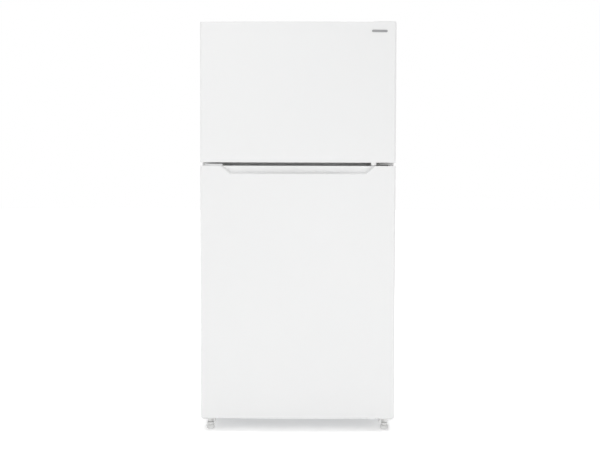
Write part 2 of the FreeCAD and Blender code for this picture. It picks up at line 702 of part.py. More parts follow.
def deli_drawer():
    """Shallow drawer under the lower shelf."""
    z1 = LOWER_SHELF - SHELF_THICK - 19 + RAIL_THICK + TOUCH
    return drawer(DELI[0] + 9, DELI[1] - 9, CRISPER_FRONT, DELI_BACK - 8, z1 - 92, z1, 6)


def shelf_ledges():
    """Ledges on the cavities' side walls under every shelf."""
    found = []
    for top, back, wide in ((UPPER_SHELF, 320, 9), (LOWER_SHELF, 320, 9), (CRISPER_SHELF, 120, 6)):
        z = top - SHELF_THICK
        for side in (-1, 1):
            x = sorted((side * FRESH[0], side * (FRESH[0] - wide)))
            found.append(box(x[0], x[1], SHELF_FRONT + 20, back, z - 9, z))
    for side in (-1, 1):
        x = sorted((side * FREEZER[0], side * (FREEZER[0] - 12)))
        found.append(box(x[0], x[1], SHELF_FRONT + 10, EVAPORATOR_COVER - 10, 1389, 1399))
    return Part.Compound(found)


CONTROL = (-190.0, 190.0, -150.0, 70.0, FRESH[3] - 44, FRESH[3])
KNOB = (110.0, CONTROL[2], CONTROL[4] + 22)


def control_housing():
    """Housing under the fresh food ceiling for thermostat and lamp, and the lamp switch's body beside it."""
    x0, x1, y0, y1, z0, z1 = CONTROL
    outer = box(*CONTROL)
    outer = rounded(outer, 10, lambda e: along(e, 2) or (along(e, 0) and e.CenterOfMass.z < z0 + 1))
    inner = box(x0 + 3, x1 - 3, y0 + 3, y1 - 3, z0 + 3, z1 - 3)
    window = box(x0 + 60, x0 + 220, y0 + 30, y1 - 30, z0 - 1, z0 + 4)
    shaft = rod(4.05, (KNOB[0], y0 - 1, KNOB[2]), (KNOB[0], y0 + 4, KNOB[2]))
    return Part.Compound([outer.cut(inner).cut(window).cut(shaft), door_switch()])


def lamp_lens():
    """Diffuser that snaps into the housing's window."""
    x0, _, y0, y1, z0, _ = CONTROL
    pane = box(x0 + 60, x0 + 220, y0 + 30, y1 - 30, z0, z0 + 3)
    dome = box(x0 + 66, x0 + 214, y0 + 36, y1 - 36, z0 - 8, z0)
    dome = rounded(dome, 7, lambda e: not along(e, 2) and e.CenterOfMass.z < z0 - 7)
    return fused([pane, dome])


def temperature_knob():
    """Dial with a grip bar, turning on a shaft through the housing's front."""
    x, y, z = KNOB
    dial = rod(18, (x, y - TOUCH - 4, z), (x, y - TOUCH, z))
    bar = box(x - 17, x + 17, y - TOUCH - 14, y - TOUCH - 4, z - 4, z + 4)
    bar = rounded(bar, 3, lambda e: along(e, 1))
    shaft = rod(4, (x, y - 1, z), (x, y + 16, z))
    return fused([dial, bar, shaft])


SWITCH = (300.0, DYKE_REACH, FRESH[3] - 27)


def door_switch():
    """Body of the lamp switch, under the ceiling behind the door's ring."""
    x, y, z = SWITCH
    body = box(x - 14, x + 14, y + 14, y + 60, z - 10, FRESH[3])
    body = rounded(body, 4, lambda e: along(e, 1) and e.CenterOfMass.z < z)
    return body.cut(rod(4.1, (x, y + 13, z), (x, y + 40, z)))


def door_switch_button():
    """Sprung plunger that the closed door holds in."""
    x, y, z = SWITCH
    button = rod(4, (x, y + TOUCH, z), (x, y + 34, z))
    return rounded(button, 1.5, lambda e: abs(e.BoundBox.YMax - (y + TOUCH)) < 0.01)


# ---- doors ----

def door_outline(inset, back, z):
    """Plan of a door as a face: straight back and sides, crowned front, rounded front corners."""
    half = DOOR_HALF - inset
    r = CORNER - inset
    big = CROWN_RADIUS - inset
    corner_y = CROWN_CENTRE - math.sqrt((big - r) ** 2 - (half - r) ** 2)
    lean = math.atan2(half - r, CROWN_CENTRE - corner_y)
    touch = V(big * math.sin(lean), CROWN_CENTRE - big * math.cos(lean), z)
    turn = (math.pi / 2 + lean) / 2
    mid = V(half - r + r * math.sin(turn), corner_y - r * math.cos(turn), z)

    def left(p):
        return V(-p.x, p.y, p.z)

    side = V(half, corner_y, z)
    rear = V(half, back, z)
    edges = [
        Part.Arc(left(touch), V(0, CROWN_CENTRE - big, z), touch).toShape(),
        Part.Arc(touch, mid, side).toShape(),
        Part.LineSegment(side, rear).toShape(),
        Part.LineSegment(rear, left(rear)).toShape(),
        Part.LineSegment(left(rear), left(side)).toShape(),
        Part.Arc(left(side), left(mid), left(touch)).toShape(),
    ]
    return Part.Face(Part.Wire(edges))


def door_block(inset, back, z0, z1):
    """The door's outline pushed up from z0 to z1."""
    return door_outline(inset, back, z0).extrude(V(0, 0, z1 - z0))


def door_skin(z0, z1):
    """The sheet steel pan of a door: front, sides, and a flange folded in at the back."""
    skin = door_block(0, DOOR_BACK, z0, z1).cut(door_block(SKIN, DOOR_BACK - SKIN, z0, z1))
    mouth = DOOR_HALF - DOOR_RIM
    return skin.cut(box(-mouth, mouth, DOOR_BACK - SKIN, DOOR_BACK, z0, z1))


def cap_plate(z0, z1):
    """The flat of an end cap, filling the pan's end from wall to wall."""
    mouth = DOOR_HALF - DOOR_RIM
    return fused([door_block(SKIN, DOOR_BACK - SKIN, z0, z1),
                  box(-mouth, mouth, DOOR_BACK - 2 * SKIN, DOOR_BACK, z0, z1)])


def cap_block(z0, z1, reach):
    """A deeper middle stretch of an end cap, as far out as reach on both sides."""
    slab = box(-reach, reach, FRONT, DOOR_BACK - SKIN - LINER, z0, z1)
    return door_block(SKIN, DOOR_BACK - SKIN - LINER, z0, z1).common(slab)


GRIP_HALF = 300.0            # the finger grooves between the doors
GRIP_BACK = -375.0
GRIP_DEEP = 27.0
SCOOP_BACK = -403.0          # flat back of the scoop in the fresh food door
SCOOP_LOW = 1094.5           # lower edge of the scoop on the door's face
SCOOP_HALF = (288.0, 329.0)  # half its width at the lower edge and at the door's top
SCOOP_SLOPE = 9.5            # how far its sloping walls come in by its flat back
GRIP_REACH = 345.0           # half width of the caps' deeper stretch round the grooves
GRIP_WALL = 4.0              # plastic left above and below a groove
PAD = (-394.0, -318.0, 8.0)  # sides and height of the pad on the fresh food door, opposite the hinge
STOP = (309.0, 330.0, 12.0)  # sides and height of the stop under the freezer door
STOP_FRONT = -403.0


def scoop(y0, y1, grow):
    """The tapered scoop between the planes y0 in front and y1 behind; grow widens its front outline."""
    lean = (SCOOP_HALF[1] - SCOOP_HALF[0]) / (SPLIT_LOW - SCOOP_LOW)
    above = 12.0

    def outline(y, inset):
        low = SCOOP_LOW + inset
        high = SPLIT_LOW + above
        shift = inset * math.hypot(1, lean)
        bottom = SCOOP_HALF[0] + lean * inset - shift
        top = SCOOP_HALF[1] + lean * above - shift
        points = [(-bottom, y, low), (bottom, y, low), (top, y, high), (-top, y, high)]
        loop = [V(*p) for p in points]
        return Part.makePolygon(loop + loop[:1])

    return Part.makeLoft([outline(y0, -grow), outline(y1, SCOOP_SLOPE)], True, True)


def scoop_tool():
    """The scoop as a cutter. Its walls meet the door's face at the outline's stated size."""
    face = EDGE_FRONT - 6
    slope = SCOOP_SLOPE / (SCOOP_BACK - face)
    reach = 20.0
    return scoop(face - reach, SCOOP_BACK, slope * reach)


def fridge_door_skin():
    skin = door_skin(DOOR_BOTTOM, SPLIT_LOW)
    lean = (SCOOP_HALF[1] - SCOOP_HALF[0]) / (SPLIT_LOW - SCOOP_LOW)
    top = SCOOP_HALF[1] + lean
    window = prism(
        [(-SCOOP_HALF[0], FRONT - 5, SCOOP_LOW), (SCOOP_HALF[0], FRONT - 5, SCOOP_LOW),
         (top, FRONT - 5, SPLIT_LOW + 1), (-top, FRONT - 5, SPLIT_LOW + 1)],
        (0, 30, 0),
    )
    return skin.cut(window)


def freezer_door_skin():
    return door_skin(SPLIT_HIGH, DOOR_TOP)


def pin_boss(z0, z1):
    """Thick stretch of an end cap round a bearing."""
    return rod(BOSS, (PIVOT_X, PIVOT_Y, z0), (PIVOT_X, PIVOT_Y, z1)).common(
        box(0, DOOR_HALF - SKIN, FRONT, DOOR_BACK - SKIN - LINER, z0, z1)
    )


def pin_collar(z0, z1):
    """Collar of a bearing that stands out of a door's end."""
    return rod(COLLAR, (PIVOT_X, PIVOT_Y, z0), (PIVOT_X, PIVOT_Y, z1))


def pin_bore(z0, z1):
    """A bearing's hole, as a cutter."""
    return rod(PIN_HOLE, (PIVOT_X, PIVOT_Y, z0), (PIVOT_X, PIVOT_Y, z1))


def fridge_door_top_cap():
    """End cap with the scoop in its front, a finger groove behind it, the upper bearing and a rest pad."""
    cap = fused([
        cap_plate(SPLIT_LOW - CAP, SPLIT_LOW), cap_block(SCOOP_LOW - GRIP_WALL, SPLIT_LOW, GRIP_REACH),
        pin_boss(SPLIT_LOW - BOSS_LONG, SPLIT_LOW), pin_collar(SPLIT_LOW - 1, MID_LEAF[0] - TOUCH),
    ])
    groove = box(-GRIP_HALF, GRIP_HALF, SCOOP_BACK + 4, GRIP_BACK, SPLIT_LOW - GRIP_DEEP, SPLIT_LOW + 1)
    groove = rounded(groove, 5, lambda e: along(e, 2) or along(e, 0) and e.CenterOfMass.z < SPLIT_LOW - 20)
    cap = cap.cut([scoop_tool(), groove, pin_bore(SPLIT_LOW - BORE_DEPTH, SPLIT_LOW + 20)])
    pad = box(PAD[0], PAD[1], STOP_FRONT, DOOR_BACK - 4, SPLIT_LOW, SPLIT_LOW + PAD[2])
    pad = rounded(pad, 2, lambda e: along(e, 1) and e.CenterOfMass.z > SPLIT_LOW + 1)
    return Part.Compound([cap, pad])


def freezer_door_bottom_cap():
    """End cap with a finger groove on its underside, the lower bearing and the door's stop."""
    cap = fused([
        cap_plate(SPLIT_HIGH, SPLIT_HIGH + CAP),
        cap_block(SPLIT_HIGH, SPLIT_HIGH + GRIP_DEEP + GRIP_WALL, GRIP_REACH),
        pin_boss(SPLIT_HIGH, SPLIT_HIGH + BOSS_LONG), pin_collar(MID_LEAF[1] + TOUCH, SPLIT_HIGH + 1),
    ])
    groove = box(-GRIP_HALF, GRIP_HALF, SCOOP_BACK + 3, GRIP_BACK, SPLIT_HIGH - 1, SPLIT_HIGH + GRIP_DEEP)
    groove = rounded(groove, 5, lambda e: along(e, 2) or along(e, 0) and e.CenterOfMass.z > SPLIT_HIGH + 20)
    cap = cap.cut([groove, pin_bore(SPLIT_HIGH - 20, SPLIT_HIGH + BORE_DEPTH)])
    stop = box(STOP[0], STOP[1], STOP_FRONT, STOP_FRONT + 20, SPLIT_HIGH - STOP[2], SPLIT_HIGH)
    stop = rounded(stop, 3, lambda e: along(e, 1) and e.CenterOfMass.z < SPLIT_HIGH - 10)
    return Part.Compound([cap, stop])


def freezer_door_top_cap():
    cap = fused([cap_plate(DOOR_TOP - CAP, DOOR_TOP), pin_boss(DOOR_TOP - BOSS_LONG, DOOR_TOP)])
    return cap.cut(pin_bore(DOOR_TOP - BORE_DEPTH, DOOR_TOP + 1))


def fridge_door_bottom_cap():
    cap = fused([
        cap_plate(DOOR_BOTTOM, DOOR_BOTTOM + CAP), pin_boss(DOOR_BOTTOM, DOOR_BOTTOM + BOSS_LONG),
        pin_collar(LOW_LEAF[1] + TOUCH, DOOR_BOTTOM + 1),
    ])
    return cap.cut(pin_bore(DOOR_BOTTOM - 20, DOOR_BOTTOM + BORE_DEPTH))


def dyke(size, inset, y0, y1):
    """The raised ring on a door's liner, inset on every side, from y0 to y1."""
    half, _, floor, ceiling = size
    x = half - DYKE_INSET - inset
    low, high = floor + DYKE_END + inset, ceiling - DYKE_END - inset
    ring = box(-x, x, y0, y1, low, high)
    x -= DYKE_WIDTH - 2 * inset
    low += DYKE_WIDTH - 2 * inset
    high -= DYKE_WIDTH - 2 * inset
    ring = ring.cut(box(-x, x, y0, y1, low, high))
    return rounded(ring, 8 - inset, lambda e: at_depth(e, y1))


FRESH_BINS = [(168, 278), (432, 532), (676, 766)]
FREEZER_BINS = [(1226, 1316), (1440, 1530)]
DAIRY = (-306.0, -12.0, 870.0, 960.0)
SMALL_BIN = (12.0, 870.0, 940.0)
LUG = 20.0


def lugs(size, tops):
    """Small ledges on the ring's inner faces that the bins' flanges hook over."""
    x = size[0] - DYKE_INSET - DYKE_WIDTH
    found = []
    for top in tops:
        found.append(box(x - 4, x + 1, DOOR_BACK + 12, DYKE_REACH - 10, top - 3 - LUG, top - 3))
        found.append(box(-x - 1, -x + 4, DOOR_BACK + 12, DYKE_REACH - 10, top - 3 - LUG, top - 3))
    return found


def door_liner(size, z0, z1, tops, ledges):
    """Formed inner panel of a door, with its hollow ring, lugs for the bins, and ledges across it."""
    back = DOOR_BACK - SKIN
    sheet = box(-DOOR_HALF + SKIN, DOOR_HALF - SKIN, back - LINER, back, z0 + CAP, z1 - CAP)
    across = size[0] - DYKE_INSET - DYKE_WIDTH + 1
    shelves = [box(-across, across, back - 1, DYKE_REACH - 10, z - 8, z) for z in ledges]
    whole = fused([sheet, dyke(size, 0, back - LINER, DYKE_REACH), *lugs(size, tops), *shelves])
    return whole.cut(dyke(size, LINER, back - LINER, DYKE_REACH - LINER))


def door_foam(size, z0, z1, caps):
    """The foam core of a door, which also fills its liner's ring."""
    back = DOOR_BACK - SKIN - LINER
    core = door_block(SKIN, back, z0 + CAP, z1 - CAP)
    for cap in caps:
        core = core.cut(cap)
    return fused([core, dyke(size, LINER, back, DYKE_REACH - LINER)])


def fridge_door_liner():
    return door_liner(FRESH, DOOR_BOTTOM, SPLIT_LOW, [top for _, top in FRESH_BINS], [DAIRY[2]])


def freezer_door_liner():
    return door_liner(FREEZER, SPLIT_HIGH, DOOR_TOP, [top for _, top in FREEZER_BINS], [])


def fridge_door_foam():
    deep = cap_block(SCOOP_LOW - GRIP_WALL, SPLIT_LOW, GRIP_REACH)
    ends = [pin_boss(DOOR_BOTTOM, DOOR_BOTTOM + BOSS_LONG), pin_boss(SPLIT_LOW - BOSS_LONG, SPLIT_LOW)]
    return door_foam(FRESH, DOOR_BOTTOM, SPLIT_LOW, [deep, *ends])


def freezer_door_foam():
    deep = cap_block(SPLIT_HIGH, SPLIT_HIGH + GRIP_DEEP + GRIP_WALL, GRIP_REACH)
    ends = [pin_boss(SPLIT_HIGH, SPLIT_HIGH + BOSS_LONG), pin_boss(DOOR_TOP - BOSS_LONG, DOOR_TOP)]
    return door_foam(FREEZER, SPLIT_HIGH, DOOR_TOP, [deep, *ends])


def gasket(z0, z1):
    """Magnetic seal round a door's back."""
    y0, y1 = DOOR_BACK - SKIN, CASE_FRONT - TOUCH
    x = GASKET_OUT
    ring = box(-x, x, y0, y1, z0 + GASKET_EDGE, z1 - GASKET_EDGE)
    inner = GASKET_EDGE + GASKET_WIDE
    x -= GASKET_WIDE
    return ring.cut(box(-x, x, y0, y1, z0 + inner, z1 - inner))


def fridge_door_gasket():
    return gasket(DOOR_BOTTOM, SPLIT_LOW)


def freezer_door_gasket():
    return gasket(SPLIT_HIGH, DOOR_TOP)


def door_bin(half, low, top):
    """A full-width door bin with a flange at each end that hooks over a lug."""
    parts = [tray(-half, half, BIN_BACK + 1, BIN_FRONT, low, top)]
    for side in (-1, 1):
        x = sorted((side * (half - 1), side * (half + 4)))
        parts.append(box(x[0], x[1], DOOR_BACK + 14, DYKE_REACH - 12, top - 3, top))
    return fused(parts)


def freezer_door_bins():
    half = FREEZER[0] - DYKE_INSET - DYKE_WIDTH - 5
    return Part.Compound([door_bin(half, low, top) for low, top in FREEZER_BINS])


LID_PIVOT = (BIN_BACK + 6, DAIRY[3] + 3.5)


def dairy_box():
    """Dairy compartment with a low front, and an ear at each end for the lid's pins."""
    x0, x1, low, top = DAIRY
    body = tray(x0, x1, BIN_BACK + 1, BIN_FRONT - 8, low, top)
    body = body.cut(box(x0 + 6, x1 - 6, BIN_FRONT - 14, BIN_FRONT, top - 44, top + 1))
    parts = [body]
    for x in (x0, x1 - TRAY):
        parts.append(box(x, x + TRAY, BIN_BACK + 9, BIN_BACK + 14, top - 10, top + 2))
        ear = box(x, x + TRAY, LID_PIVOT[0] - 4, LID_PIVOT[0] + 4, top - 10, top + 8)
        parts.append(ear)
    shell = fused(parts)
    return shell.cut(rod(2.1, (x0 - 1, *LID_PIVOT), (x1 + 1, *LID_PIVOT)))


def fridge_door_bins():
    half = FRESH[0] - DYKE_INSET - DYKE_WIDTH - 5
    found = [door_bin(half, low, top) for low, top in FRESH_BINS]
    found.append(dairy_box())
    found.append(tray(SMALL_BIN[0], half, BIN_BACK + 1, BIN_FRONT, SMALL_BIN[1], SMALL_BIN[2]))
    return Part.Compound(found)


def dairy_lid():
    """Lid of the dairy compartment: a flat top, a front drop, and a pin at each rear corner."""
    x0, x1 = DAIRY[0] + TRAY + 0.5, DAIRY[1] - TRAY - 0.5
    top = DAIRY[3]
    y, z = LID_PIVOT
    plate = box(x0, x1, y - 2, BIN_FRONT - 5, top + 2, top + 4.5)
    drop = box(x0, x1, BIN_FRONT - 7.5, BIN_FRONT - 5, top - 42, top + 4.5)
    barrel = rod(3.2, (x0, y, z), (x1, y, z))
    pin = rod(2.0, (x0 - TRAY, y, z), (x1 + TRAY, y, z))
    return fused([plate, drop, barrel, pin])


def door_stop():
    """Small block under the fresh food door, near its hinge."""
    block = box(303, 336, -405, -383, DOOR_BOTTOM - 5, DOOR_BOTTOM)
    return rounded(block, 3, lambda e: along(e, 1) and e.CenterOfMass.z < DOOR_BOTTOM - 4)


BADGE = (341.0, 1693.0, 66.0, 10.0, 1.8)


def badge():
    """Blank nameplate at the freezer door's upper right, lying flat on the crowned front."""
    x, z, wide, high, thick = BADGE
    lean = math.asin(x / CROWN_RADIUS)
    plate = box(-wide / 2, wide / 2, -thick, -0.02, -high / 2, high / 2)
    plate = rounded(plate, high / 2 - 0.1, lambda e: along(e, 1))
    plate.rotate(V(0, 0, 0), V(0, 0, 1), math.degrees(lean))
    plate.translate(V(x, CROWN_CENTRE - CROWN_RADIUS * math.cos(lean), z))
    return plate


NODES = [
    outer_case, back_panel, base_deck, cabinet_foam, fresh_food_liner, freezer_liner, mullion_plate,
    top_hinge, top_hinge_cover, center_hinge, bottom_hinge, leg_bracket, screws,
    leg_left, leg_right, roller_left, roller_right,
    machine_tray, compressor, compressor_mounts, condenser, condenser_fan, fan_shroud, drain_pan, rear_cover,
    cord_gland, wall_spacers,
    evaporator, evaporator_cover, evaporator_fan, freezer_shelf, ice_bin,
    shelf_frames, shelf_glass, crisper_cover, crisper_left, crisper_right, deli_drawer,
    shelf_ledges, control_housing, lamp_lens, temperature_knob,
    door_switch_button,
    freezer_door_skin, freezer_door_top_cap, freezer_door_bottom_cap, freezer_door_foam, freezer_door_liner,
    freezer_door_gasket, freezer_door_bins, badge,
    fridge_door_skin, fridge_door_top_cap, fridge_door_bottom_cap, fridge_door_foam, fridge_door_liner,
    fridge_door_gasket, fridge_door_bins, dairy_lid, door_stop,
]


def main():
    os.makedirs("parts", exist_ok=True)
    for make in NODES:
        shape = make()
        solids = shape.Solids
        if not solids or not all(s.isValid() and s.Volume > 0 for s in solids):
            raise ValueError(f"{make.__name__} is not made of valid solids")
        shape.exportStep(os.path.join("parts", make.__name__ + ".step"))


main()
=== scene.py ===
"""The looks of the top freezer refrigerator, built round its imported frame.

Everything is in metres on the frame's own axes: +X to the hinge side, -Y out of the doors, +Z up.
"""

import bmesh
import bpy
import json
import math
from mathutils import Matrix, Vector


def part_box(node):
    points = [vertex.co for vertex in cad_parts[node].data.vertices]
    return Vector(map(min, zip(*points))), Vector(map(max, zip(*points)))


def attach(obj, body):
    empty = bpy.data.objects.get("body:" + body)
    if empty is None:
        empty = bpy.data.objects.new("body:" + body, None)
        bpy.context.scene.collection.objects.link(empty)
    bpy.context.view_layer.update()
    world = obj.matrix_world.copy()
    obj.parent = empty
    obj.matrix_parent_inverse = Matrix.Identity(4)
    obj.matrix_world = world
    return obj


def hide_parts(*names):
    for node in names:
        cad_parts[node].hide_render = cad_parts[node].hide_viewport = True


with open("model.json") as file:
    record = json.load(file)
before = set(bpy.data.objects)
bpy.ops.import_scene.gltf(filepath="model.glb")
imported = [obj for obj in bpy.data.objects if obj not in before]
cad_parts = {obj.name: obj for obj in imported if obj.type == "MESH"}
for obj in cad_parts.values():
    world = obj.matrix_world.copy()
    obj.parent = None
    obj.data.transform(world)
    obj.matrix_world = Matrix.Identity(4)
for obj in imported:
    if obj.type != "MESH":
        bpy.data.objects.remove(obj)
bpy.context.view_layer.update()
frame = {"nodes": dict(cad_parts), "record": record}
NODES = frame["nodes"]
BODY_OF = {node: body for body, nodes in frame["record"]["behaviour"]["bodies"].items() for node in nodes}
SLOT_OF = {part["node"]: part["material_slot"] for part in frame["record"]["subparts"]}
MM = 0.001
WELD = 0.01 * MM              # points nearer than this are one point


# ---- node trees ----

def add(tree, kind, settings=None, **feeds):
    """Adds a node. A feed is a socket to link from, or a value.

    A feed's name is the input's, with _ for a space, or i0, i1 and so on for an input by its place.
    """
    made = tree.nodes.new(kind)
    for key, value in (settings or {}).items():
        setattr(made, key, value)
    for key, value in feeds.items():
        by_place = key[0] == "i" and key[1:].isdigit()
        socket = made.inputs[int(key[1:]) if by_place else key.replace("_", " ")]
        if isinstance(value, bpy.types.NodeSocket):
            tree.links.new(value, socket)
        else:
            socket.default_value = value
    return made


def math_node(tree, operation, first, second=0.0):
    return add(tree, "ShaderNodeMath", {"operation": operation}, i0=first, i1=second).outputs[0]


def mapped(tree, value, span, onto):
    """A value carried from one span onto another."""
    made = add(tree, "ShaderNodeMapRange", None, Value=value, i1=span[0], i2=span[1], i3=onto[0], i4=onto[1])
    return made.outputs[0]


def ramp(tree, factor, stops):
    """A colour ramp through (position, colour) stops."""
    made = add(tree, "ShaderNodeValToRGB", None, Fac=factor)
    elements = made.color_ramp.elements
    while len(elements) < len(stops):
        elements.new(0.5)
    for element, (place, colour) in zip(elements, stops):
        element.position = place
        element.color = (*colour, 1)
    return made.outputs["Color"]


def shader_group(name, inputs, outputs):
    """A shader node group with named float or vector inputs and float outputs."""
    tree = bpy.data.node_groups.new(name, "ShaderNodeTree")
    for label, value in inputs.items():
        kind = "NodeSocketFloat" if isinstance(value, float) else "NodeSocketVector"
        socket = tree.interface.new_socket(label, in_out="INPUT", socket_type=kind)
        if isinstance(value, float):
            socket.default_value = value
    for label in outputs:
        tree.interface.new_socket(label, in_out="OUTPUT", socket_type="NodeSocketFloat")
    return tree, tree.nodes.new("NodeGroupInput").outputs, tree.nodes.new("NodeGroupOutput").inputs


def make_ripple():
    """Sprayed or moulded surface: broad waves with a finer pebble on them."""
    tree, given, put = shader_group(
        "surface ripple", {"Place": None, "Size": 300.0, "Fineness": 4.0}, ["Height"])
    broad = add(tree, "ShaderNodeTexNoise", None, Vector=given["Place"], Scale=given["Size"], Detail=1.0)
    fine_size = math_node(tree, "MULTIPLY", given["Size"], given["Fineness"])
    fine = add(tree, "ShaderNodeTexNoise", None, Vector=given["Place"], Scale=fine_size, Detail=2.0)
    small = math_node(tree, "MULTIPLY", fine.outputs["Fac"], 0.35)
    tree.links.new(math_node(tree, "ADD", broad.outputs["Fac"], small), put["Height"])
    return tree


def make_handling():
    """Faint uneven patches left by wiping and use, from 0 to 1, and dust that thickens towards the floor."""
    tree, given, put = shader_group(
        "handling", {"Place": None, "Size": 6.0, "Floor": 0.15}, ["Patches", "Dust"])
    cloud = add(tree, "ShaderNodeTexNoise", None, Vector=given["Place"], Scale=given["Size"], Detail=5.0,
                Roughness=0.62, Distortion=0.4)
    speck = add(tree, "ShaderNodeTexNoise", None, Vector=given["Place"], Scale=900.0, Detail=1.0)
    height = add(tree, "ShaderNodeSeparateXYZ", None, Vector=given["Place"]).outputs["Z"]
    low = mapped(tree, height, (0.0, given["Floor"]), (1.0, 0.0))
    grit = math_node(tree, "MULTIPLY", speck.outputs["Fac"], cloud.outputs["Fac"])
    tree.links.new(cloud.outputs["Fac"], put["Patches"])
    tree.links.new(math_node(tree, "MULTIPLY", grit, low), put["Dust"])
    return tree


def make_streaks():
    """Rolling or brushing lines: noise drawn out by a stretch that differs along each axis."""
    tree, given, put = shader_group("rolled streaks", {"Place": None, "Stretch": None}, ["Lines"])
    drawn = add(tree, "ShaderNodeVectorMath", {"operation": "MULTIPLY"},
                i0=given["Place"], i1=given["Stretch"]).outputs[0]
    lines = add(tree, "ShaderNodeTexNoise", None, Vector=drawn, Scale=1.0, Detail=4.0, Roughness=0.7)
    tree.links.new(lines.outputs["Fac"], put["Lines"])
    return tree


RIPPLE, HANDLING, STREAKS = make_ripple(), make_handling(), make_streaks()


def grouped(tree, group, place, **values):
    """Places a shader group in a material, with its own values."""
    made = tree.nodes.new("ShaderNodeGroup")
    made.node_tree = group
    tree.links.new(place, made.inputs["Place"])
    for key, value in values.items():
        made.inputs[key].default_value = value
    return made.outputs


def new_material(name):
    """A material, its tree, and the Object coordinates that its patterns read."""
    material = bpy.data.materials.new(name)
    material.use_nodes = True
    tree = material.node_tree
    return material, tree, tree.nodes.new("ShaderNodeTexCoord").outputs["Object"]


def dress_shader(tree, colour, roughness, height, depth, **fixed):
    """Feeds the Principled shader its colour, roughness and bump, and sets its fixed inputs."""
    shader = tree.nodes["Principled BSDF"]
    relief = add(tree, "ShaderNodeBump", None, Height=height, Distance=depth)
    tree.links.new(colour, shader.inputs["Base Color"])
    tree.links.new(roughness, shader.inputs["Roughness"])
    tree.links.new(relief.outputs["Normal"], shader.inputs["Normal"])
    for key, value in fixed.items():
        shader.inputs[key.replace("_", " ")].default_value = value


def finish_material(name, colour, tint, rough, bump, size, fineness=4.0, patch_size=6.0, dust=0.12,
                    streaks=None, **fixed):
    """A finish with ripple bump, faint patches in colour and roughness, and dust near the floor.

    colour and tint are its two close tones, rough the span of its roughness, and bump the ripple's depth in
    metres. size and patch_size say how many ripples and patches there are to a metre, and fineness how much
    finer the small ripples are.
    """
    material, tree, place = new_material(name)
    worn = grouped(tree, HANDLING, place, Size=patch_size)
    tone = worn["Patches"]
    height = grouped(tree, RIPPLE, place, Size=size, Fineness=fineness)["Height"]
    if streaks:
        lines = grouped(tree, STREAKS, place, Stretch=streaks)["Lines"]
        tone = math_node(tree, "MULTIPLY", math_node(tree, "ADD", tone, lines), 0.5)
        height = math_node(tree, "ADD", height, lines)
    base = ramp(tree, tone, [(0.35, colour), (0.65, tint)])
    dusty = math_node(tree, "MULTIPLY", worn["Dust"], dust)
    grime = tuple(0.45 * c + 0.08 for c in colour)
    mixed = add(tree, "ShaderNodeMix", {"data_type": "RGBA"}, i0=dusty, i6=base, i7=(*grime, 1)).outputs[2]
    dress_shader(tree, mixed, mapped(tree, tone, (0.3, 0.7), rough), height, bump, **fixed)
    return material


def clear_material(name, colour, rough, ior, ripple, through):
    """A clear moulding or pane: light passes, with a faint flow ripple in it."""
    material, tree, place = new_material(name)
    cloud = grouped(tree, HANDLING, place, Size=9.0)["Patches"]
    deeper = tuple(0.97 * c for c in colour)
    tone = ramp(tree, cloud, [(0.3, colour), (0.7, deeper)])
    height = grouped(tree, RIPPLE, place, Size=40.0, Fineness=8.0)["Height"]
    dress_shader(tree, tone, mapped(tree, cloud, (0.3, 0.7), rough), height, ripple,
                 IOR=ior, Transmission_Weight=through)
    return material


def galvanised():
    """Zinc-dipped sheet: crystal spangle in tone and roughness over faint rolling lines."""
    material, tree, place = new_material("galvanised sheet")
    crystal = add(tree, "ShaderNodeTexVoronoi", None, Vector=place, Scale=150.0)
    grey = add(tree, "ShaderNodeSeparateColor", None, Color=crystal.outputs["Color"]).outputs[0]
    lines = grouped(tree, STREAKS, place, Stretch=(300.0, 300.0, 6.0))["Lines"]
    spangle = math_node(tree, "MULTIPLY", grey, 0.6)
    rolling = math_node(tree, "MULTIPLY", lines, 0.4)
    tone = math_node(tree, "ADD", spangle, rolling)
    colour = ramp(tree, tone, [(0.1, (0.53, 0.54, 0.55)), (0.9, (0.66, 0.67, 0.68))])
    dress_shader(tree, colour, mapped(tree, tone, (0.0, 1.0), (0.36, 0.46)), tone, 0.02 * MM, Metallic=0.9)
    return material


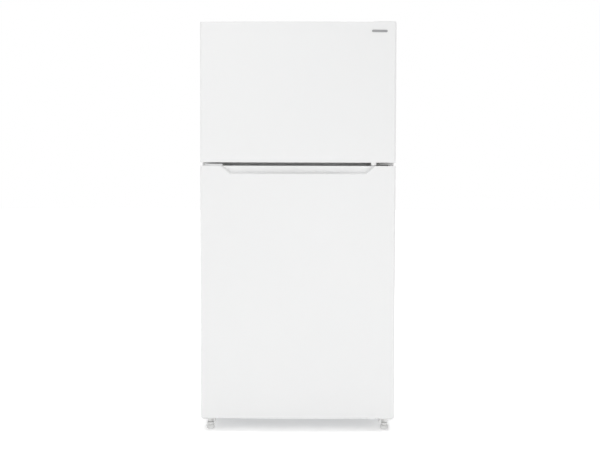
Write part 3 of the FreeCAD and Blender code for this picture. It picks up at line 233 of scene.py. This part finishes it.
FINISHES = {
    "white_enamel": finish_material(
        "white enamel", (0.850, 0.852, 0.851), (0.845, 0.848, 0.848), (0.38, 0.43), 0.006 * MM, 260.0,
        patch_size=2.5, Coat_Weight=0.12, Coat_Roughness=0.28),
    "white_plastic": finish_material(
        "white moulding", (0.895, 0.897, 0.895), (0.888, 0.891, 0.89), (0.38, 0.46), 0.03 * MM, 900.0),
    "liner_plastic": finish_material(
        "formed liner", (0.87, 0.875, 0.873), (0.862, 0.868, 0.867), (0.28, 0.36), 0.12 * MM, 28.0,
        fineness=30.0, Coat_Weight=0.2, Coat_Roughness=0.2),
    "hinge_paint": finish_material(
        "powder coat", (0.80, 0.80, 0.79), (0.76, 0.76, 0.755), (0.42, 0.52), 0.06 * MM, 1100.0,
        fineness=2.5, patch_size=30.0, dust=0.5),
    "zinc_steel": finish_material(
        "zinc plate", (0.66, 0.66, 0.63), (0.58, 0.59, 0.58), (0.26, 0.42), 0.02 * MM, 500.0,
        patch_size=60.0, Metallic=1.0),
    "wire_coating": finish_material(
        "dipped wire coating", (0.86, 0.865, 0.865), (0.83, 0.84, 0.84), (0.22, 0.34), 0.05 * MM, 180.0,
        fineness=3.0, Coat_Weight=0.4),
    "foot_plastic": finish_material(
        "foot moulding", (0.84, 0.84, 0.835), (0.81, 0.81, 0.80), (0.42, 0.55), 0.06 * MM, 900.0,
        fineness=3.0, patch_size=60.0, dust=0.5),
    "gasket_rubber": finish_material(
        "seal", (0.78, 0.785, 0.78), (0.73, 0.735, 0.73), (0.52, 0.64), 0.04 * MM, 1400.0,
        fineness=2.0, patch_size=20.0, dust=0.4),
    "foam_core": finish_material(
        "rigid foam", (0.80, 0.72, 0.48), (0.72, 0.63, 0.40), (0.75, 0.9), 0.3 * MM, 350.0,
        fineness=3.0, patch_size=25.0),
    "compressor_paint": finish_material(
        "compressor paint", (0.016, 0.016, 0.018), (0.026, 0.026, 0.028), (0.28, 0.42), 0.08 * MM, 220.0,
        patch_size=18.0, dust=2.5, Coat_Weight=0.3),
    "black_rubber": finish_material(
        "bush rubber", (0.022, 0.022, 0.023), (0.035, 0.035, 0.036), (0.62, 0.78), 0.06 * MM, 800.0,
        fineness=3.0, patch_size=60.0, dust=1.5),
    "fin_metal": finish_material(
        "fin metal", (0.78, 0.79, 0.80), (0.68, 0.69, 0.70), (0.28, 0.44), 0.02 * MM, 600.0,
        patch_size=20.0, dust=0.6, streaks=(20.0, 900.0, 20.0), Metallic=1.0),
    "dark_plastic": finish_material(
        "dark moulding", (0.030, 0.031, 0.033), (0.042, 0.043, 0.045), (0.42, 0.56), 0.05 * MM, 1000.0,
        fineness=3.0, patch_size=30.0, dust=1.2),
    "grey_plastic": finish_material(
        "grey moulding", (0.42, 0.43, 0.44), (0.37, 0.38, 0.39), (0.38, 0.5), 0.05 * MM, 1000.0,
        fineness=3.0, patch_size=30.0, dust=0.6),
    "badge_metal": finish_material(
        "nameplate", (0.36, 0.365, 0.37), (0.43, 0.435, 0.44), (0.34, 0.44), 0.01 * MM, 1500.0,
        fineness=3.0, patch_size=120.0, streaks=(12.0, 12.0, 2600.0), Metallic=0.5),
    "galvanised_sheet": galvanised(),
    "clear_plastic": clear_material(
        "clear moulding", (0.955, 0.975, 0.98), (0.06, 0.12), ior=1.3, ripple=0.15 * MM, through=0.72),
    "shelf_pane": clear_material(
        "shelf glass", (0.93, 0.98, 0.965), (0.01, 0.03), ior=1.45, ripple=0.02 * MM, through=0.9),
    "lens_plastic": clear_material(
        "lamp diffuser", (0.97, 0.96, 0.92), (0.35, 0.5), ior=1.49, ripple=0.3 * MM, through=0.6),
}
COPPER = finish_material(
    "copper tube", (0.60, 0.27, 0.15), (0.48, 0.19, 0.10), (0.28, 0.45), 0.03 * MM, 300.0,
    patch_size=40.0, dust=0.8, Metallic=1.0)


# ---- meshes ----

def new_piece(name, mesh, material, node, stands_for=()):
    """A finished piece: its mesh in place, dressed, riding with a CAD node, standing for the nodes named."""
    mesh.name = name
    piece = bpy.data.objects.new(name, mesh)
    bpy.context.scene.collection.objects.link(piece)
    mesh.materials.clear()
    mesh.materials.append(material)
    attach(piece, BODY_OF[node])
    if stands_for:
        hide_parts(*stands_for)


def baked(mesh, dress_up):
    """mesh after the modifiers that dress_up(object) gives it, as a plain mesh."""
    holder = bpy.data.objects.new("holder", mesh)
    bpy.context.scene.collection.objects.link(holder)
    dress_up(holder)
    bpy.context.view_layer.update()
    graph = bpy.context.evaluated_depsgraph_get()
    result = bpy.data.meshes.new_from_object(
        holder.evaluated_get(graph), preserve_all_data_layers=True, depsgraph=graph)
    holder.modifiers.clear()
    bpy.data.objects.remove(holder)
    return result


def eased(mesh, width):
    """mesh with its sharp edges rounded by width, and shaded smooth."""
    mesh.shade_smooth()

    def dress_up(holder):
        bevel = holder.modifiers.new("eased edges", "BEVEL")
        bevel.width = width
        bevel.segments = 2
        bevel.limit_method = "ANGLE"
        bevel.angle_limit = math.radians(38)
        bevel.harden_normals = True
        bevel.miter_outer = "MITER_ARC"
        even = holder.modifiers.new("even normals", "WEIGHTED_NORMAL")
        even.mode = "FACE_AREA_WITH_ANGLE"
        even.weight = 100
        even.keep_sharp = True

    return baked(mesh, dress_up)


def merged_copy(node):
    """A copy of a CAD node's mesh with its triangles joined, and its flat faces made whole."""
    mesh = NODES[node].data.copy()
    work = bmesh.new()
    work.from_mesh(mesh)
    bmesh.ops.remove_doubles(work, verts=work.verts, dist=WELD)
    bmesh.ops.dissolve_degenerate(work, edges=work.edges, dist=WELD / 2)
    bmesh.ops.dissolve_limit(work, angle_limit=math.radians(0.4), verts=work.verts, edges=work.edges)
    work.to_mesh(mesh)
    work.free()
    return mesh


def refined(node, width):
    """Stands for a CAD node with the same shape and edges eased by width, in millimetres."""
    slot = SLOT_OF[node]
    mesh = eased(merged_copy(node), width * MM)
    new_piece(node + "_finished", mesh, FINISHES[slot], node, [node])


def bounds(points):
    """The lowest and highest corners of points."""
    low = Vector([min(p[i] for p in points) for i in range(3)])
    high = Vector([max(p[i] for p in points) for i in range(3)])
    return low, high


def node_box(node):
    """The lowest and highest corners of a CAD node."""
    low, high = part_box(node)
    return Vector(low), Vector(high)


def islands(node):
    """The lowest and highest corners of each separate solid in a CAD node."""
    work = bmesh.new()
    work.from_mesh(NODES[node].data)
    bmesh.ops.remove_doubles(work, verts=work.verts, dist=WELD)
    found, seen = [], set()
    for first in work.verts:
        if first in seen:
            continue
        seen.add(first)
        front, points = [first], []
        while front:
            vertex = front.pop()
            points.append(vertex.co.copy())
            others = {edge.other_vert(vertex) for edge in vertex.link_edges} - seen
            seen |= others
            front += others
        found.append(bounds(points))
    work.free()
    return found


def block(low, high):
    """A box between two corners."""
    low, high = Vector(low), Vector(high)
    mesh = bpy.data.meshes.new("block")
    work = bmesh.new()
    bmesh.ops.create_cube(work, size=1.0)
    bmesh.ops.scale(work, vec=high - low, verts=work.verts)
    bmesh.ops.translate(work, vec=(high + low) / 2, verts=work.verts)
    work.to_mesh(mesh)
    work.free()
    return mesh


def joined(meshes):
    """Several meshes as one."""
    work = bmesh.new()
    for mesh in meshes:
        work.from_mesh(mesh)
    whole = bpy.data.meshes.new("joined")
    work.to_mesh(whole)
    work.free()
    return whole


def lathe(profile, steps):
    """A closed turned solid about Z from (radius, height) points that start and end on the axis."""
    turns = [2 * math.pi * i / steps for i in range(steps)]
    work = bmesh.new()
    rings = []
    for radius, height in profile:
        around = turns if radius else [0]
        rings.append([work.verts.new((radius * math.cos(a), radius * math.sin(a), height)) for a in around])
    for lower, upper in zip(rings, rings[1:]):
        for i in range(steps):
            j = (i + 1) % steps
            corners = [lower[i % len(lower)], lower[j % len(lower)],
                       upper[j % len(upper)], upper[i % len(upper)]]
            work.faces.new(list(dict.fromkeys(corners)))       # three corners where a ring is one point
    bmesh.ops.recalc_face_normals(work, faces=work.faces)
    mesh = bpy.data.meshes.new("turned")
    work.to_mesh(mesh)
    work.free()
    return mesh


def face_outwards(mesh):
    """Turns a mesh's faces outwards."""
    work = bmesh.new()
    work.from_mesh(mesh)
    bmesh.ops.recalc_face_normals(work, faces=work.faces)
    work.to_mesh(mesh)
    work.free()


def tube(name, points, radius, material, node):
    """A round tube along a smooth curve through points."""
    curve = bpy.data.curves.new(name, "CURVE")
    curve.dimensions = "3D"
    curve.bevel_depth = radius
    curve.bevel_resolution = 3
    curve.use_fill_caps = True
    curve.resolution_u = 6
    line = curve.splines.new("NURBS")
    line.points.add(len(points) - 1)
    for point, place in zip(line.points, points):
        point.co = (*place, 1)
    line.order_u = 3
    line.use_endpoint_u = True
    holder = bpy.data.objects.new(name, curve)
    mesh = bpy.data.meshes.new_from_object(holder)
    bpy.data.objects.remove(holder)
    mesh.shade_smooth()
    new_piece(name, mesh, material, node)


# ---- geometry trees ----

def geometry_tree(name, inputs):
    """A Geometry Nodes tree with named inputs, given as name to socket kind."""
    tree = bpy.data.node_groups.new(name, "GeometryNodeTree")
    tree.interface.new_socket("Geometry", in_out="OUTPUT", socket_type="NodeSocketGeometry")
    for label, kind in inputs.items():
        tree.interface.new_socket(label, in_out="INPUT", socket_type="NodeSocket" + kind)
    return tree, tree.nodes.new("NodeGroupInput").outputs, tree.nodes.new("NodeGroupOutput").inputs


def close_tree(tree, given, put, geometry):
    """Ends a tree in Realize Instances and Set Material."""
    real = add(tree, "GeometryNodeRealizeInstances", None, Geometry=geometry)
    dressed = add(tree, "GeometryNodeSetMaterial", None, Geometry=real.outputs[0], Material=given["Material"])
    tree.links.new(dressed.outputs[0], put["Geometry"])
    return tree


def instanced(tree, points, shape, **more):
    """Copies of a shape on points."""
    return add(tree, "GeometryNodeInstanceOnPoints", None, Points=points, Instance=shape, **more).outputs[0]


def object_shape(tree, given):
    """The shape of an object given to a tree."""
    return add(tree, "GeometryNodeObjectInfo", None, Object=given).outputs["Geometry"]


def offset_points(tree, given):
    """Points in a row: Count of them from Start, a Step apart."""
    line = add(tree, "GeometryNodeMeshLine", {"mode": "OFFSET"}, Count=given["Count"], Offset=given["Step"],
               Start_Location=given["Start"])
    return line.outputs[0]


def make_row():
    """A row of copies of one shape."""
    tree, given, put = geometry_tree("row of copies", {
        "Count": "Int", "Start": "Vector", "Step": "Vector", "Shape": "Object", "Material": "Material"})
    shape = object_shape(tree, given["Shape"])
    return close_tree(tree, given, put, instanced(tree, offset_points(tree, given), shape))


def make_ring():
    """Copies of one shape turned evenly round the Z axis."""
    tree, given, put = geometry_tree("ring of copies", {
        "Count": "Int", "Radius": "Float", "Shape": "Object", "Material": "Material"})
    circle = add(tree, "GeometryNodeMeshCircle", None, Vertices=given["Count"], Radius=given["Radius"])
    place = add(tree, "GeometryNodeInputIndex").outputs[0]
    share = math_node(tree, "DIVIDE", place, given["Count"])
    angle = math_node(tree, "MULTIPLY", share, 2 * math.pi)
    turn = add(tree, "ShaderNodeCombineXYZ", None, Z=angle).outputs[0]
    shape = object_shape(tree, given["Shape"])
    return close_tree(tree, given, put, instanced(tree, circle.outputs[0], shape, Rotation=turn))


def make_wires():
    """Parallel wires of one length, side by side."""
    tree, given, put = geometry_tree("row of wires", {
        "Count": "Int", "Start": "Vector", "Step": "Vector", "Run": "Vector", "Radius": "Float",
        "Material": "Material"})
    run = add(tree, "GeometryNodeCurvePrimitiveLine", None, End=given["Run"])
    section = add(tree, "GeometryNodeCurvePrimitiveCircle", None, Resolution=10, Radius=given["Radius"])
    wire = add(tree, "GeometryNodeCurveToMesh", None, Curve=run.outputs[0], Profile_Curve=section.outputs[0],
               Fill_Caps=True)
    return close_tree(tree, given, put, instanced(tree, offset_points(tree, given), wire.outputs[0]))


def make_set():
    """One shape on each point given, its Z turned along the point's own direction."""
    tree, given, put = geometry_tree("set on directions", {
        "Points": "Object", "Shape": "Object", "Material": "Material"})
    points = object_shape(tree, given["Points"])
    out = add(tree, "GeometryNodeInputNamedAttribute", {"data_type": "FLOAT_VECTOR"}, Name="out").outputs[0]
    turn = add(tree, "FunctionNodeAlignRotationToVector", {"axis": "Z"}, Vector=out).outputs[0]
    shape = object_shape(tree, given["Shape"])
    return close_tree(tree, given, put, instanced(tree, points, shape, Rotation=turn))


def make_swept():
    """A section swept along a closed path."""
    tree, given, put = geometry_tree("swept section", {
        "Path": "Object", "Section": "Object", "Material": "Material"})
    swept = add(tree, "GeometryNodeCurveToMesh", None, Curve=object_shape(tree, given["Path"]),
                Profile_Curve=object_shape(tree, given["Section"]))
    return close_tree(tree, given, put, swept.outputs[0])


ROW, RING, WIRES, SET, SWEPT = make_row(), make_ring(), make_wires(), make_set(), make_swept()


def grown(tree, **values):
    """The plain mesh that a geometry tree makes from these inputs."""
    def dress_up(holder):
        modifier = holder.modifiers.new(tree.name, "NODES")
        modifier.node_group = tree
        for item in tree.interface.items_tree:
            if item.item_type == "SOCKET" and item.in_out == "INPUT":
                modifier[item.identifier] = values[item.name]

    return baked(bpy.data.meshes.new("grown"), dress_up)


LENT = []


def shape_object(data):
    """An object that only lends its shape to a tree or a cut; it is cleared away afterwards."""
    lent = bpy.data.objects.new("shape", data)
    bpy.context.scene.collection.objects.link(lent)
    LENT.append(lent)
    return lent


def clear_lent():
    """Clears the lent shapes away."""
    for lent in LENT:
        bpy.data.objects.remove(lent)
    LENT.clear()


# ---- screws ----

HEAD_RADIUS = 4.6 * MM
HEAD_HIGH = 2.6 * MM


def pan_head():
    """A pan head with a cross recess, standing on the origin and pointing along +Z."""
    rim = 0.35                    # the share of the head's height below its dome
    turns = [math.radians(t) for t in range(0, 90, 15)]
    dome = [(HEAD_RADIUS * math.cos(a), HEAD_HIGH * (rim + (1 - rim) * math.sin(a))) for a in turns]
    head = lathe([(0, 0), (HEAD_RADIUS, 0)] + dome + [(0, HEAD_HIGH)], 28)
    long, wide, deep = 2.5 * MM, 0.55 * MM, 1.3 * MM
    tools = [
        shape_object(block((-x, -y, HEAD_HIGH - deep), (x, y, HEAD_HIGH + deep)))
        for x, y in ((long, wide), (wide, long))
    ]

    def dress_up(holder):
        for tool in tools:
            cut = holder.modifiers.new("recess", "BOOLEAN")
            cut.operation = "DIFFERENCE"
            cut.object = tool
            cut.solver = "EXACT"

    return baked(head, dress_up)


def screws():
    """Pan heads where the cabinet's screws are; each stands out of the face that it is driven into."""
    points, outs = [], []
    for low, high in islands("screws"):
        size = high - low
        upright = size.z < size.x
        along, halfway = (2, 1.0) if upright else (1, 0.0)
        face = (low + high) / 2
        sign = 1 if face[along] > halfway else -1
        face[along] = (high if sign > 0 else low)[along] - sign * HEAD_HIGH
        out = Vector((0, 0, 0))
        out[along] = sign
        points.append(face)
        outs.append(out)
    mesh = bpy.data.meshes.new("screw places")
    mesh.from_pydata(points, [], [])
    directions = mesh.attributes.new("out", "FLOAT_VECTOR", "POINT")
    for item, out in zip(directions.data, outs):
        item.vector = out
    material = FINISHES["zinc_steel"]
    heads = grown(SET, Points=shape_object(mesh), Shape=shape_object(pan_head()), Material=material)
    new_piece("screw_heads", heads, material, "screws", ["screws"])


# ---- seals ----

def closed_line(dimensions, places):
    """A closed curve of straight pieces through places."""
    curve = bpy.data.curves.new("line", "CURVE")
    curve.dimensions = dimensions
    line = curve.splines.new("POLY")
    line.points.add(len(places) - 1)
    for point, place in zip(line.points, places):
        point.co = (*place, 1)
    line.use_cyclic_u = True
    return curve


def rectangle_path(low, high, corner):
    """A closed curve round a rectangle in the XZ plane at low.y, with rounded corners."""
    steps = 4
    right, left = high.x - corner, low.x + corner
    top, bottom = high.z - corner, low.z + corner
    places = []
    for x, z, start in ((right, top, 0), (left, top, 90), (left, bottom, 180), (right, bottom, 270)):
        for step in range(steps + 1):
            angle = math.radians(start + 90 * step / steps)
            places.append((x + corner * math.cos(angle), low.y, z + corner * math.sin(angle)))
    return closed_line("3D", places)


def seal(node):
    """A door's magnetic seal: a foot, two bellows folds and a soft magnet strip, swept round the door."""
    low, high = node_box(node)
    deep, half, inset, corner = high.y - low.y, 7.6 * MM, 8.2 * MM, 8 * MM
    # shares of the seal's depth from the door to the cabinet, and of its half width there
    profile = [(0.0, 0.92), (0.10, 0.92), (0.16, 0.55), (0.30, 0.82), (0.42, 0.50),
               (0.54, 0.82), (0.66, 0.55), (0.72, 1.0), (0.98, 1.0), (1.0, 0.86)]
    side = [(depth * deep, width * half, 0) for depth, width in profile]
    section = closed_line("2D", side + [(x, -y, 0) for x, y, _ in reversed(side)])
    edge = Vector((inset, 0, inset))
    path = rectangle_path(low + edge, high - edge, corner)
    material = FINISHES["gasket_rubber"]
    mesh = grown(SWEPT, Path=shape_object(path), Section=shape_object(section), Material=material)
    face_outwards(mesh)
    mesh.shade_smooth()
    new_piece(node + "_bellows", mesh, material, node, [node])


# ---- feet ----

def foot(node):
    """A levelling foot: the moulded knob with grip ribs round it, and its threaded stem."""
    refined(node, 0.4)
    low, high = node_box(node)
    radius = (high.x - low.x) / 2
    standing = 0.3 * MM           # how far a rib's origin is outside the knob
    rib = block((-0.9 * MM, -1.1 * MM, 8 * MM), (0.35 * MM, 1.1 * MM, 16 * MM))
    lent = shape_object(eased(rib, 0.3 * MM))
    material = FINISHES["foot_plastic"]
    ribs = grown(RING, Count=20, Radius=radius + standing, Shape=lent, Material=material)
    ribs.transform(Matrix.Translation(((low.x + high.x) / 2, (low.y + high.y) / 2, 0)))
    ribs.shade_smooth()
    new_piece(node + "_grip_ribs", ribs, material, node)


# ---- coils of fins and tube ----

def finned(node, tube_material, pitch):
    """Thin closely set fins on a tube that runs to and fro through them, with its end bends."""
    solids = islands(node)
    fins = [corner for low, high in solids if high.x - low.x < 2 * MM for corner in (low, high)]
    tubes = [(low, high) for low, high in solids if high.x - low.x > 20 * MM]
    low, high = bounds(fins)
    sheet = 0.35 * MM
    fin = shape_object(block((0, low.y, low.z), (sheet, high.y, high.z)))
    material = FINISHES["fin_metal"]
    count = int((high.x - low.x) / pitch)
    stack = grown(ROW, Count=count, Start=(low.x, 0, 0), Step=(pitch, 0, 0), Shape=fin, Material=material)
    new_piece(node + "_fins", stack, material, node, [node])

    centres = [((low.y + high.y) / 2, (low.z + high.z) / 2) for low, high in tubes]
    passes = []
    for i, column in enumerate(sorted({round(y, 4) for y, _ in centres})):
        heights = sorted((z for y, z in centres if abs(y - column) < MM), reverse=i % 2 == 1)
        passes += [(column, z) for z in heights]
    left, right = min(low.x for low, _ in tubes), max(high.x for _, high in tubes)
    straight = 5 * MM             # how far short of its bends a pass ends
    points = []
    for i, (y, z) in enumerate(passes):
        ends = [left + straight, right - straight]
        if i % 2 == 1:
            ends.reverse()
        points += [(x, y, z) for x in ends]
        if i + 1 < len(passes):
            bend = right if i % 2 == 0 else left
            points += [(bend, y, z), (bend, *passes[i + 1])]
    tube(node + "_tube", points, 3.6 * MM, tube_material, node)


# ---- shelf wires ----

def wire_shelf(node="freezer_shelf"):
    """The freezer's wire shelf: frame rods below, close wires over them, turned down at the front."""
    low, high = node_box(node)
    size = high - low
    thin, thick = 1.6 * MM, 3.0 * MM          # radii of the wires and of the frame rods
    count, edge, inset = 34, 20 * MM, 5 * MM
    pitch = (size.x - 2 * edge) / (count - 1)
    material = FINISHES["wire_coating"]
    wires = grown(WIRES, Count=count, Start=(low.x + edge, low.y + thin, high.z - thin), Step=(pitch, 0, 0),
                  Run=(0, size.y - 2 * thin, 0), Radius=thin, Material=material)
    noses = grown(WIRES, Count=count, Start=(low.x + edge, low.y + thin, low.z + thin), Step=(pitch, 0, 0),
                  Run=(0, 0, size.z - 2 * thin), Radius=thin, Material=material)
    rods = grown(WIRES, Count=3, Start=(low.x, low.y + inset, low.z + thick),
                 Step=(0, (size.y - 2 * inset) / 2, 0), Run=(size.x, 0, 0), Radius=thick, Material=material)
    sides = grown(WIRES, Count=2, Start=(low.x + thick, low.y, low.z + thick),
                  Step=(size.x - 2 * thick, 0, 0), Run=(0, size.y, 0), Radius=thick, Material=material)
    mesh = joined([wires, noses, rods, sides])
    mesh.shade_smooth()
    new_piece("freezer_wire_shelf", mesh, material, node, [node])


# ---- back of the cabinet ----

def louvre_hood(long, tall, proud):
    """A pressed hood, open below: its sheet curves out from the top, and its ends are closed."""
    steps = 6
    work = bmesh.new()
    rows = []
    for i in range(steps + 1):
        share = i / steps
        y, z = proud * math.sin(share * math.pi / 2), tall * (1 - share)
        rows.append([work.verts.new((x, y, z)) for x in (-long / 2, long / 2)])
    for upper, lower in zip(rows, rows[1:]):
        work.faces.new([upper[0], upper[1], lower[1], lower[0]])
    for side, x in enumerate((-long / 2, long / 2)):
        corner = work.verts.new((x, 0, 0))
        rim = [row[side] for row in rows]
        for a, b in zip(rim, rim[1:]):
            work.faces.new([a, b, corner])
    sheet = bpy.data.meshes.new("hood")
    work.to_mesh(sheet)
    work.free()

    def thicken(holder):
        solid = holder.modifiers.new("sheet", "SOLIDIFY")
        solid.thickness = 0.7 * MM
        solid.offset = 0

    hood = baked(sheet, thicken)
    face_outwards(hood)
    return hood


def louvre_hoods():
    """A pressed hood over each slot of the rear cover."""
    _, high = node_box("rear_cover")
    lowest, pitch = 97.5 * MM, 19 * MM
    lent = shape_object(louvre_hood(140 * MM, 9 * MM, 2.6 * MM))
    material = FINISHES["galvanised_sheet"]
    banks = [
        grown(ROW, Count=9, Start=(x * MM, high.y, lowest), Step=(0, 0, pitch), Shape=lent, Material=material)
        for x in (-250, 40, 235)
    ]
    new_piece("louvre_hoods", joined(banks), material, "rear_cover")


def back_beads():
    """Stiffening beads pressed into the back panel: a frame and two diagonals."""
    low, high = node_box("back_panel")
    half_width, proud = 7 * MM, 1.5 * MM
    left, right = low.x + 60 * MM, high.x - 60 * MM
    bottom, top = low.z + 70 * MM, high.z - 70 * MM
    runs = [(left, bottom, right, top), (left, top, right, bottom), (left, bottom, right, bottom),
            (left, top, right, top), (left, bottom, left, top), (right, bottom, right, top)]
    flatten = Matrix.Diagonal((1, proud / half_width, 1, 1))
    material = FINISHES["galvanised_sheet"]
    beads = []
    for x, z, end_x, end_z in runs:
        bead = grown(WIRES, Count=1, Start=(0, 0, 0), Step=(0, 0, 0), Run=(end_x - x, 0, end_z - z),
                     Radius=half_width, Material=material)
        bead.transform(Matrix.Translation((x, high.y, z)) @ flatten)
        beads.append(bead)
    mesh = joined(beads)
    mesh.shade_smooth()
    new_piece("back_beads", mesh, material, "back_panel")


# ---- tubes of the cooling circuit ----

def away(place, *steps):
    """Points at steps, in millimetres, from a place."""
    return [tuple(Vector(place) + Vector(step) * MM) for step in steps]


def cooling_tubes():
    """Copper tubes of the compressor: to the condenser, up to the cold side, and a closed one for service."""
    low, high = node_box("compressor")
    coil = node_box("condenser")[1]
    middle = (low.y + high.y) / 2
    left = (low.x + 26 * MM, middle, high.z)
    right = (high.x - 60 * MM, middle, high.z)
    bend = (coil.x, middle, high.z)
    hot = away(left, (4, 0, -60), (-26, 0, -60), (-40, 0, -40), (-40, 30, 24), (-60, 60, 30))
    hot += away(bend, (90, 76, 30), (44, 76, 30), (2, 76, 30))
    hot += away((coil.x, middle, coil.z), (-4, 76, -34))
    tube("discharge_tube", hot, 3.2 * MM, COPPER, "compressor")
    cold = away(right, (0, -50, -50), (8, -76, -46), (14, -88, -20), (14, -88, 30))
    cold += away((right[0], middle, 0), (14, -88, 288))
    tube("suction_tube", cold, 4.2 * MM, COPPER, "compressor")
    service = away(right, (30, 40, -60), (44, 62, -58), (50, 72, -30), (50, 72, 6))
    tube("service_tube", service, 3.0 * MM, COPPER, "compressor")


# ---- thermostat marks ----

def dial_marks():
    """Raised tick marks on the housing round the thermostat knob, longer at every fourth."""
    low, high = node_box("temperature_knob")
    shaft_reach = 16 * MM         # how far the knob's shaft goes in behind the housing's front
    inner, wide, proud, sunk = 19.2 * MM, 1.0 * MM, 0.3 * MM, 0.2 * MM
    ticks = []
    for i in range(9):
        length = 1.3 * MM if i % 4 else 2.4 * MM
        tick = block((inner, -proud, -wide / 2), (inner + length, sunk, wide / 2))
        tick.transform(Matrix.Rotation(math.radians(30 - 30 * i), 4, "Y"))
        ticks.append(tick)
    mesh = joined(ticks)
    mesh.transform(Matrix.Translation(((low.x + high.x) / 2, high.y - shaft_reach, (low.z + high.z) / 2)))
    new_piece("dial_marks", mesh, FINISHES["grey_plastic"], "control_housing")


# ---- studio ----

CAMERA_PLACE = Vector((0.0271, -4.425, 1.0358))
CAMERA_TURN = (-0.0388, 0.0044, -0.0028)      # pitch, yaw and roll in radians
CAMERA_LENS = 57.1
ROOM_LIGHT = 0.42             # how strongly the white room lights the object; it looks full white
TABLE_WHITE = 0.88
TABLE_GLOW = 0.33
LAMPS = {                     # place, diameter and power
    "key": ((-1.6, -4.6, 3.4), 3.4, 38.0),
    "fill": ((1.2, -5.4, 0.7), 3.0, 17.0),
    "back": ((1.2, 4.6, 3.0), 2.4, 34.0),
}
LAMP_AIM = Vector((0, 0, 0.95))


def set_camera(scene):
    """A long lens in front of the doors, a little above their middle."""
    pitch, yaw, roll = CAMERA_TURN
    turn = (Matrix.Rotation(yaw, 4, "Z") @ Matrix.Rotation(pitch, 4, "X") @ Matrix.Rotation(roll, 4, "Y")
            @ Matrix.Rotation(math.pi / 2, 4, "X"))
    camera = bpy.data.objects.new("camera", bpy.data.cameras.new("camera"))
    camera.data.lens = CAMERA_LENS
    camera.data.sensor_width = 36.0
    camera.data.clip_end = 60.0
    camera.matrix_world = Matrix.Translation(CAMERA_PLACE) @ turn
    scene.collection.objects.link(camera)
    scene.camera = camera


def light_room(scene):
    """A white room all round, brighter to look at than the light that it gives."""
    world = bpy.data.worlds.new("studio")
    world.use_nodes = True
    tree = world.node_tree
    seen = tree.nodes.new("ShaderNodeLightPath").outputs["Is Camera Ray"]
    background = tree.nodes["Background"]
    background.inputs["Color"].default_value = (1.0, 1.0, 1.0, 1)
    tree.links.new(mapped(tree, seen, (0.0, 1.0), (ROOM_LIGHT, 1.0)), background.inputs["Strength"])
    scene.world = world
    scene.view_settings.view_transform = "Standard"


def lay_table(scene):
    """The lit white table that the object stands on."""
    floor = bpy.data.objects.new("studio_floor", block((-24, -16, -0.02), (24, 40, 0)))
    material = bpy.data.materials.new("lit white table")
    material.use_nodes = True
    inputs = material.node_tree.nodes["Principled BSDF"].inputs
    inputs["Base Color"].default_value = (TABLE_WHITE, TABLE_WHITE, TABLE_WHITE, 1)
    inputs["Roughness"].default_value = 0.8
    inputs["Specular IOR Level"].default_value = 0.1
    inputs["Emission Color"].default_value = (1.0, 1.0, 1.0, 1)
    inputs["Emission Strength"].default_value = TABLE_GLOW
    floor.data.materials.append(material)
    scene.collection.objects.link(floor)


def hang_lamps(scene):
    """A broad soft light from overhead, and three round soft boxes."""
    overhead = bpy.data.lights.new("overhead", "SUN")
    overhead.energy = 1.7
    overhead.angle = math.radians(50)
    scene.collection.objects.link(bpy.data.objects.new("overhead", overhead))
    for name, (place, size, power) in LAMPS.items():
        light = bpy.data.lights.new(name, "AREA")
        light.shape = "DISK"
        light.size = size
        light.energy = power
        lamp = bpy.data.objects.new(name, light)
        turn = (LAMP_AIM - Vector(place)).to_track_quat("-Z", "Y").to_matrix().to_4x4()
        lamp.matrix_world = Matrix.Translation(place) @ turn
        scene.collection.objects.link(lamp)


# ---- assembly ----

# how wide each part's edges are eased, in millimetres
EASED = {
    "outer_case": 0.5, "back_panel": 0.3, "base_deck": 0.4, "fresh_food_liner": 1.0, "freezer_liner": 1.0,
    "mullion_plate": 0.3, "top_hinge": 0.5, "top_hinge_cover": 0.8, "center_hinge": 0.5, "bottom_hinge": 0.5,
    "leg_bracket": 0.5, "machine_tray": 0.4, "compressor": 0.8, "compressor_mounts": 0.5, "fan_shroud": 0.5,
    "drain_pan": 0.5, "rear_cover": 0.3, "cord_gland": 0.5, "wall_spacers": 1.2, "evaporator_cover": 0.5,
    "shelf_frames": 0.6, "shelf_glass": 0.5, "crisper_cover": 0.6, "shelf_ledges": 0.8,
    "control_housing": 0.6, "lamp_lens": 0.5,
    "freezer_door_skin": 0.4, "freezer_door_top_cap": 0.5, "freezer_door_bottom_cap": 0.6,
    "freezer_door_liner": 1.0, "freezer_door_bins": 0.5, "badge": 0.35,
    "fridge_door_skin": 0.4, "fridge_door_top_cap": 0.6, "fridge_door_bottom_cap": 0.5,
    "fridge_door_liner": 1.0, "fridge_door_bins": 0.5, "door_stop": 0.6, "dairy_lid": 0.4,
    "roller_left": 0.6, "roller_right": 0.6, "condenser_fan": 0.4, "evaporator_fan": 0.4,
    "temperature_knob": 0.5, "door_switch_button": 0.4, "crisper_left": 0.5, "crisper_right": 0.5,
    "deli_drawer": 0.5, "ice_bin": 0.6,
}

for prepare in (set_camera, light_room, lay_table, hang_lamps):
    prepare(bpy.context.scene)
for part, width in EASED.items():
    refined(part, width)
for part in ("cabinet_foam", "freezer_door_foam", "fridge_door_foam"):
    NODES[part].data.materials.clear()
    NODES[part].data.materials.append(FINISHES["foam_core"])
screws()
for part in ("freezer_door_gasket", "fridge_door_gasket"):
    seal(part)
for part in ("leg_left", "leg_right"):
    foot(part)
finned("condenser", COPPER, 4.0 * MM)
finned("evaporator", FINISHES["fin_metal"], 6.0 * MM)
wire_shelf()
louvre_hoods()
back_beads()
cooling_tubes()
dial_marks()
clear_lent()
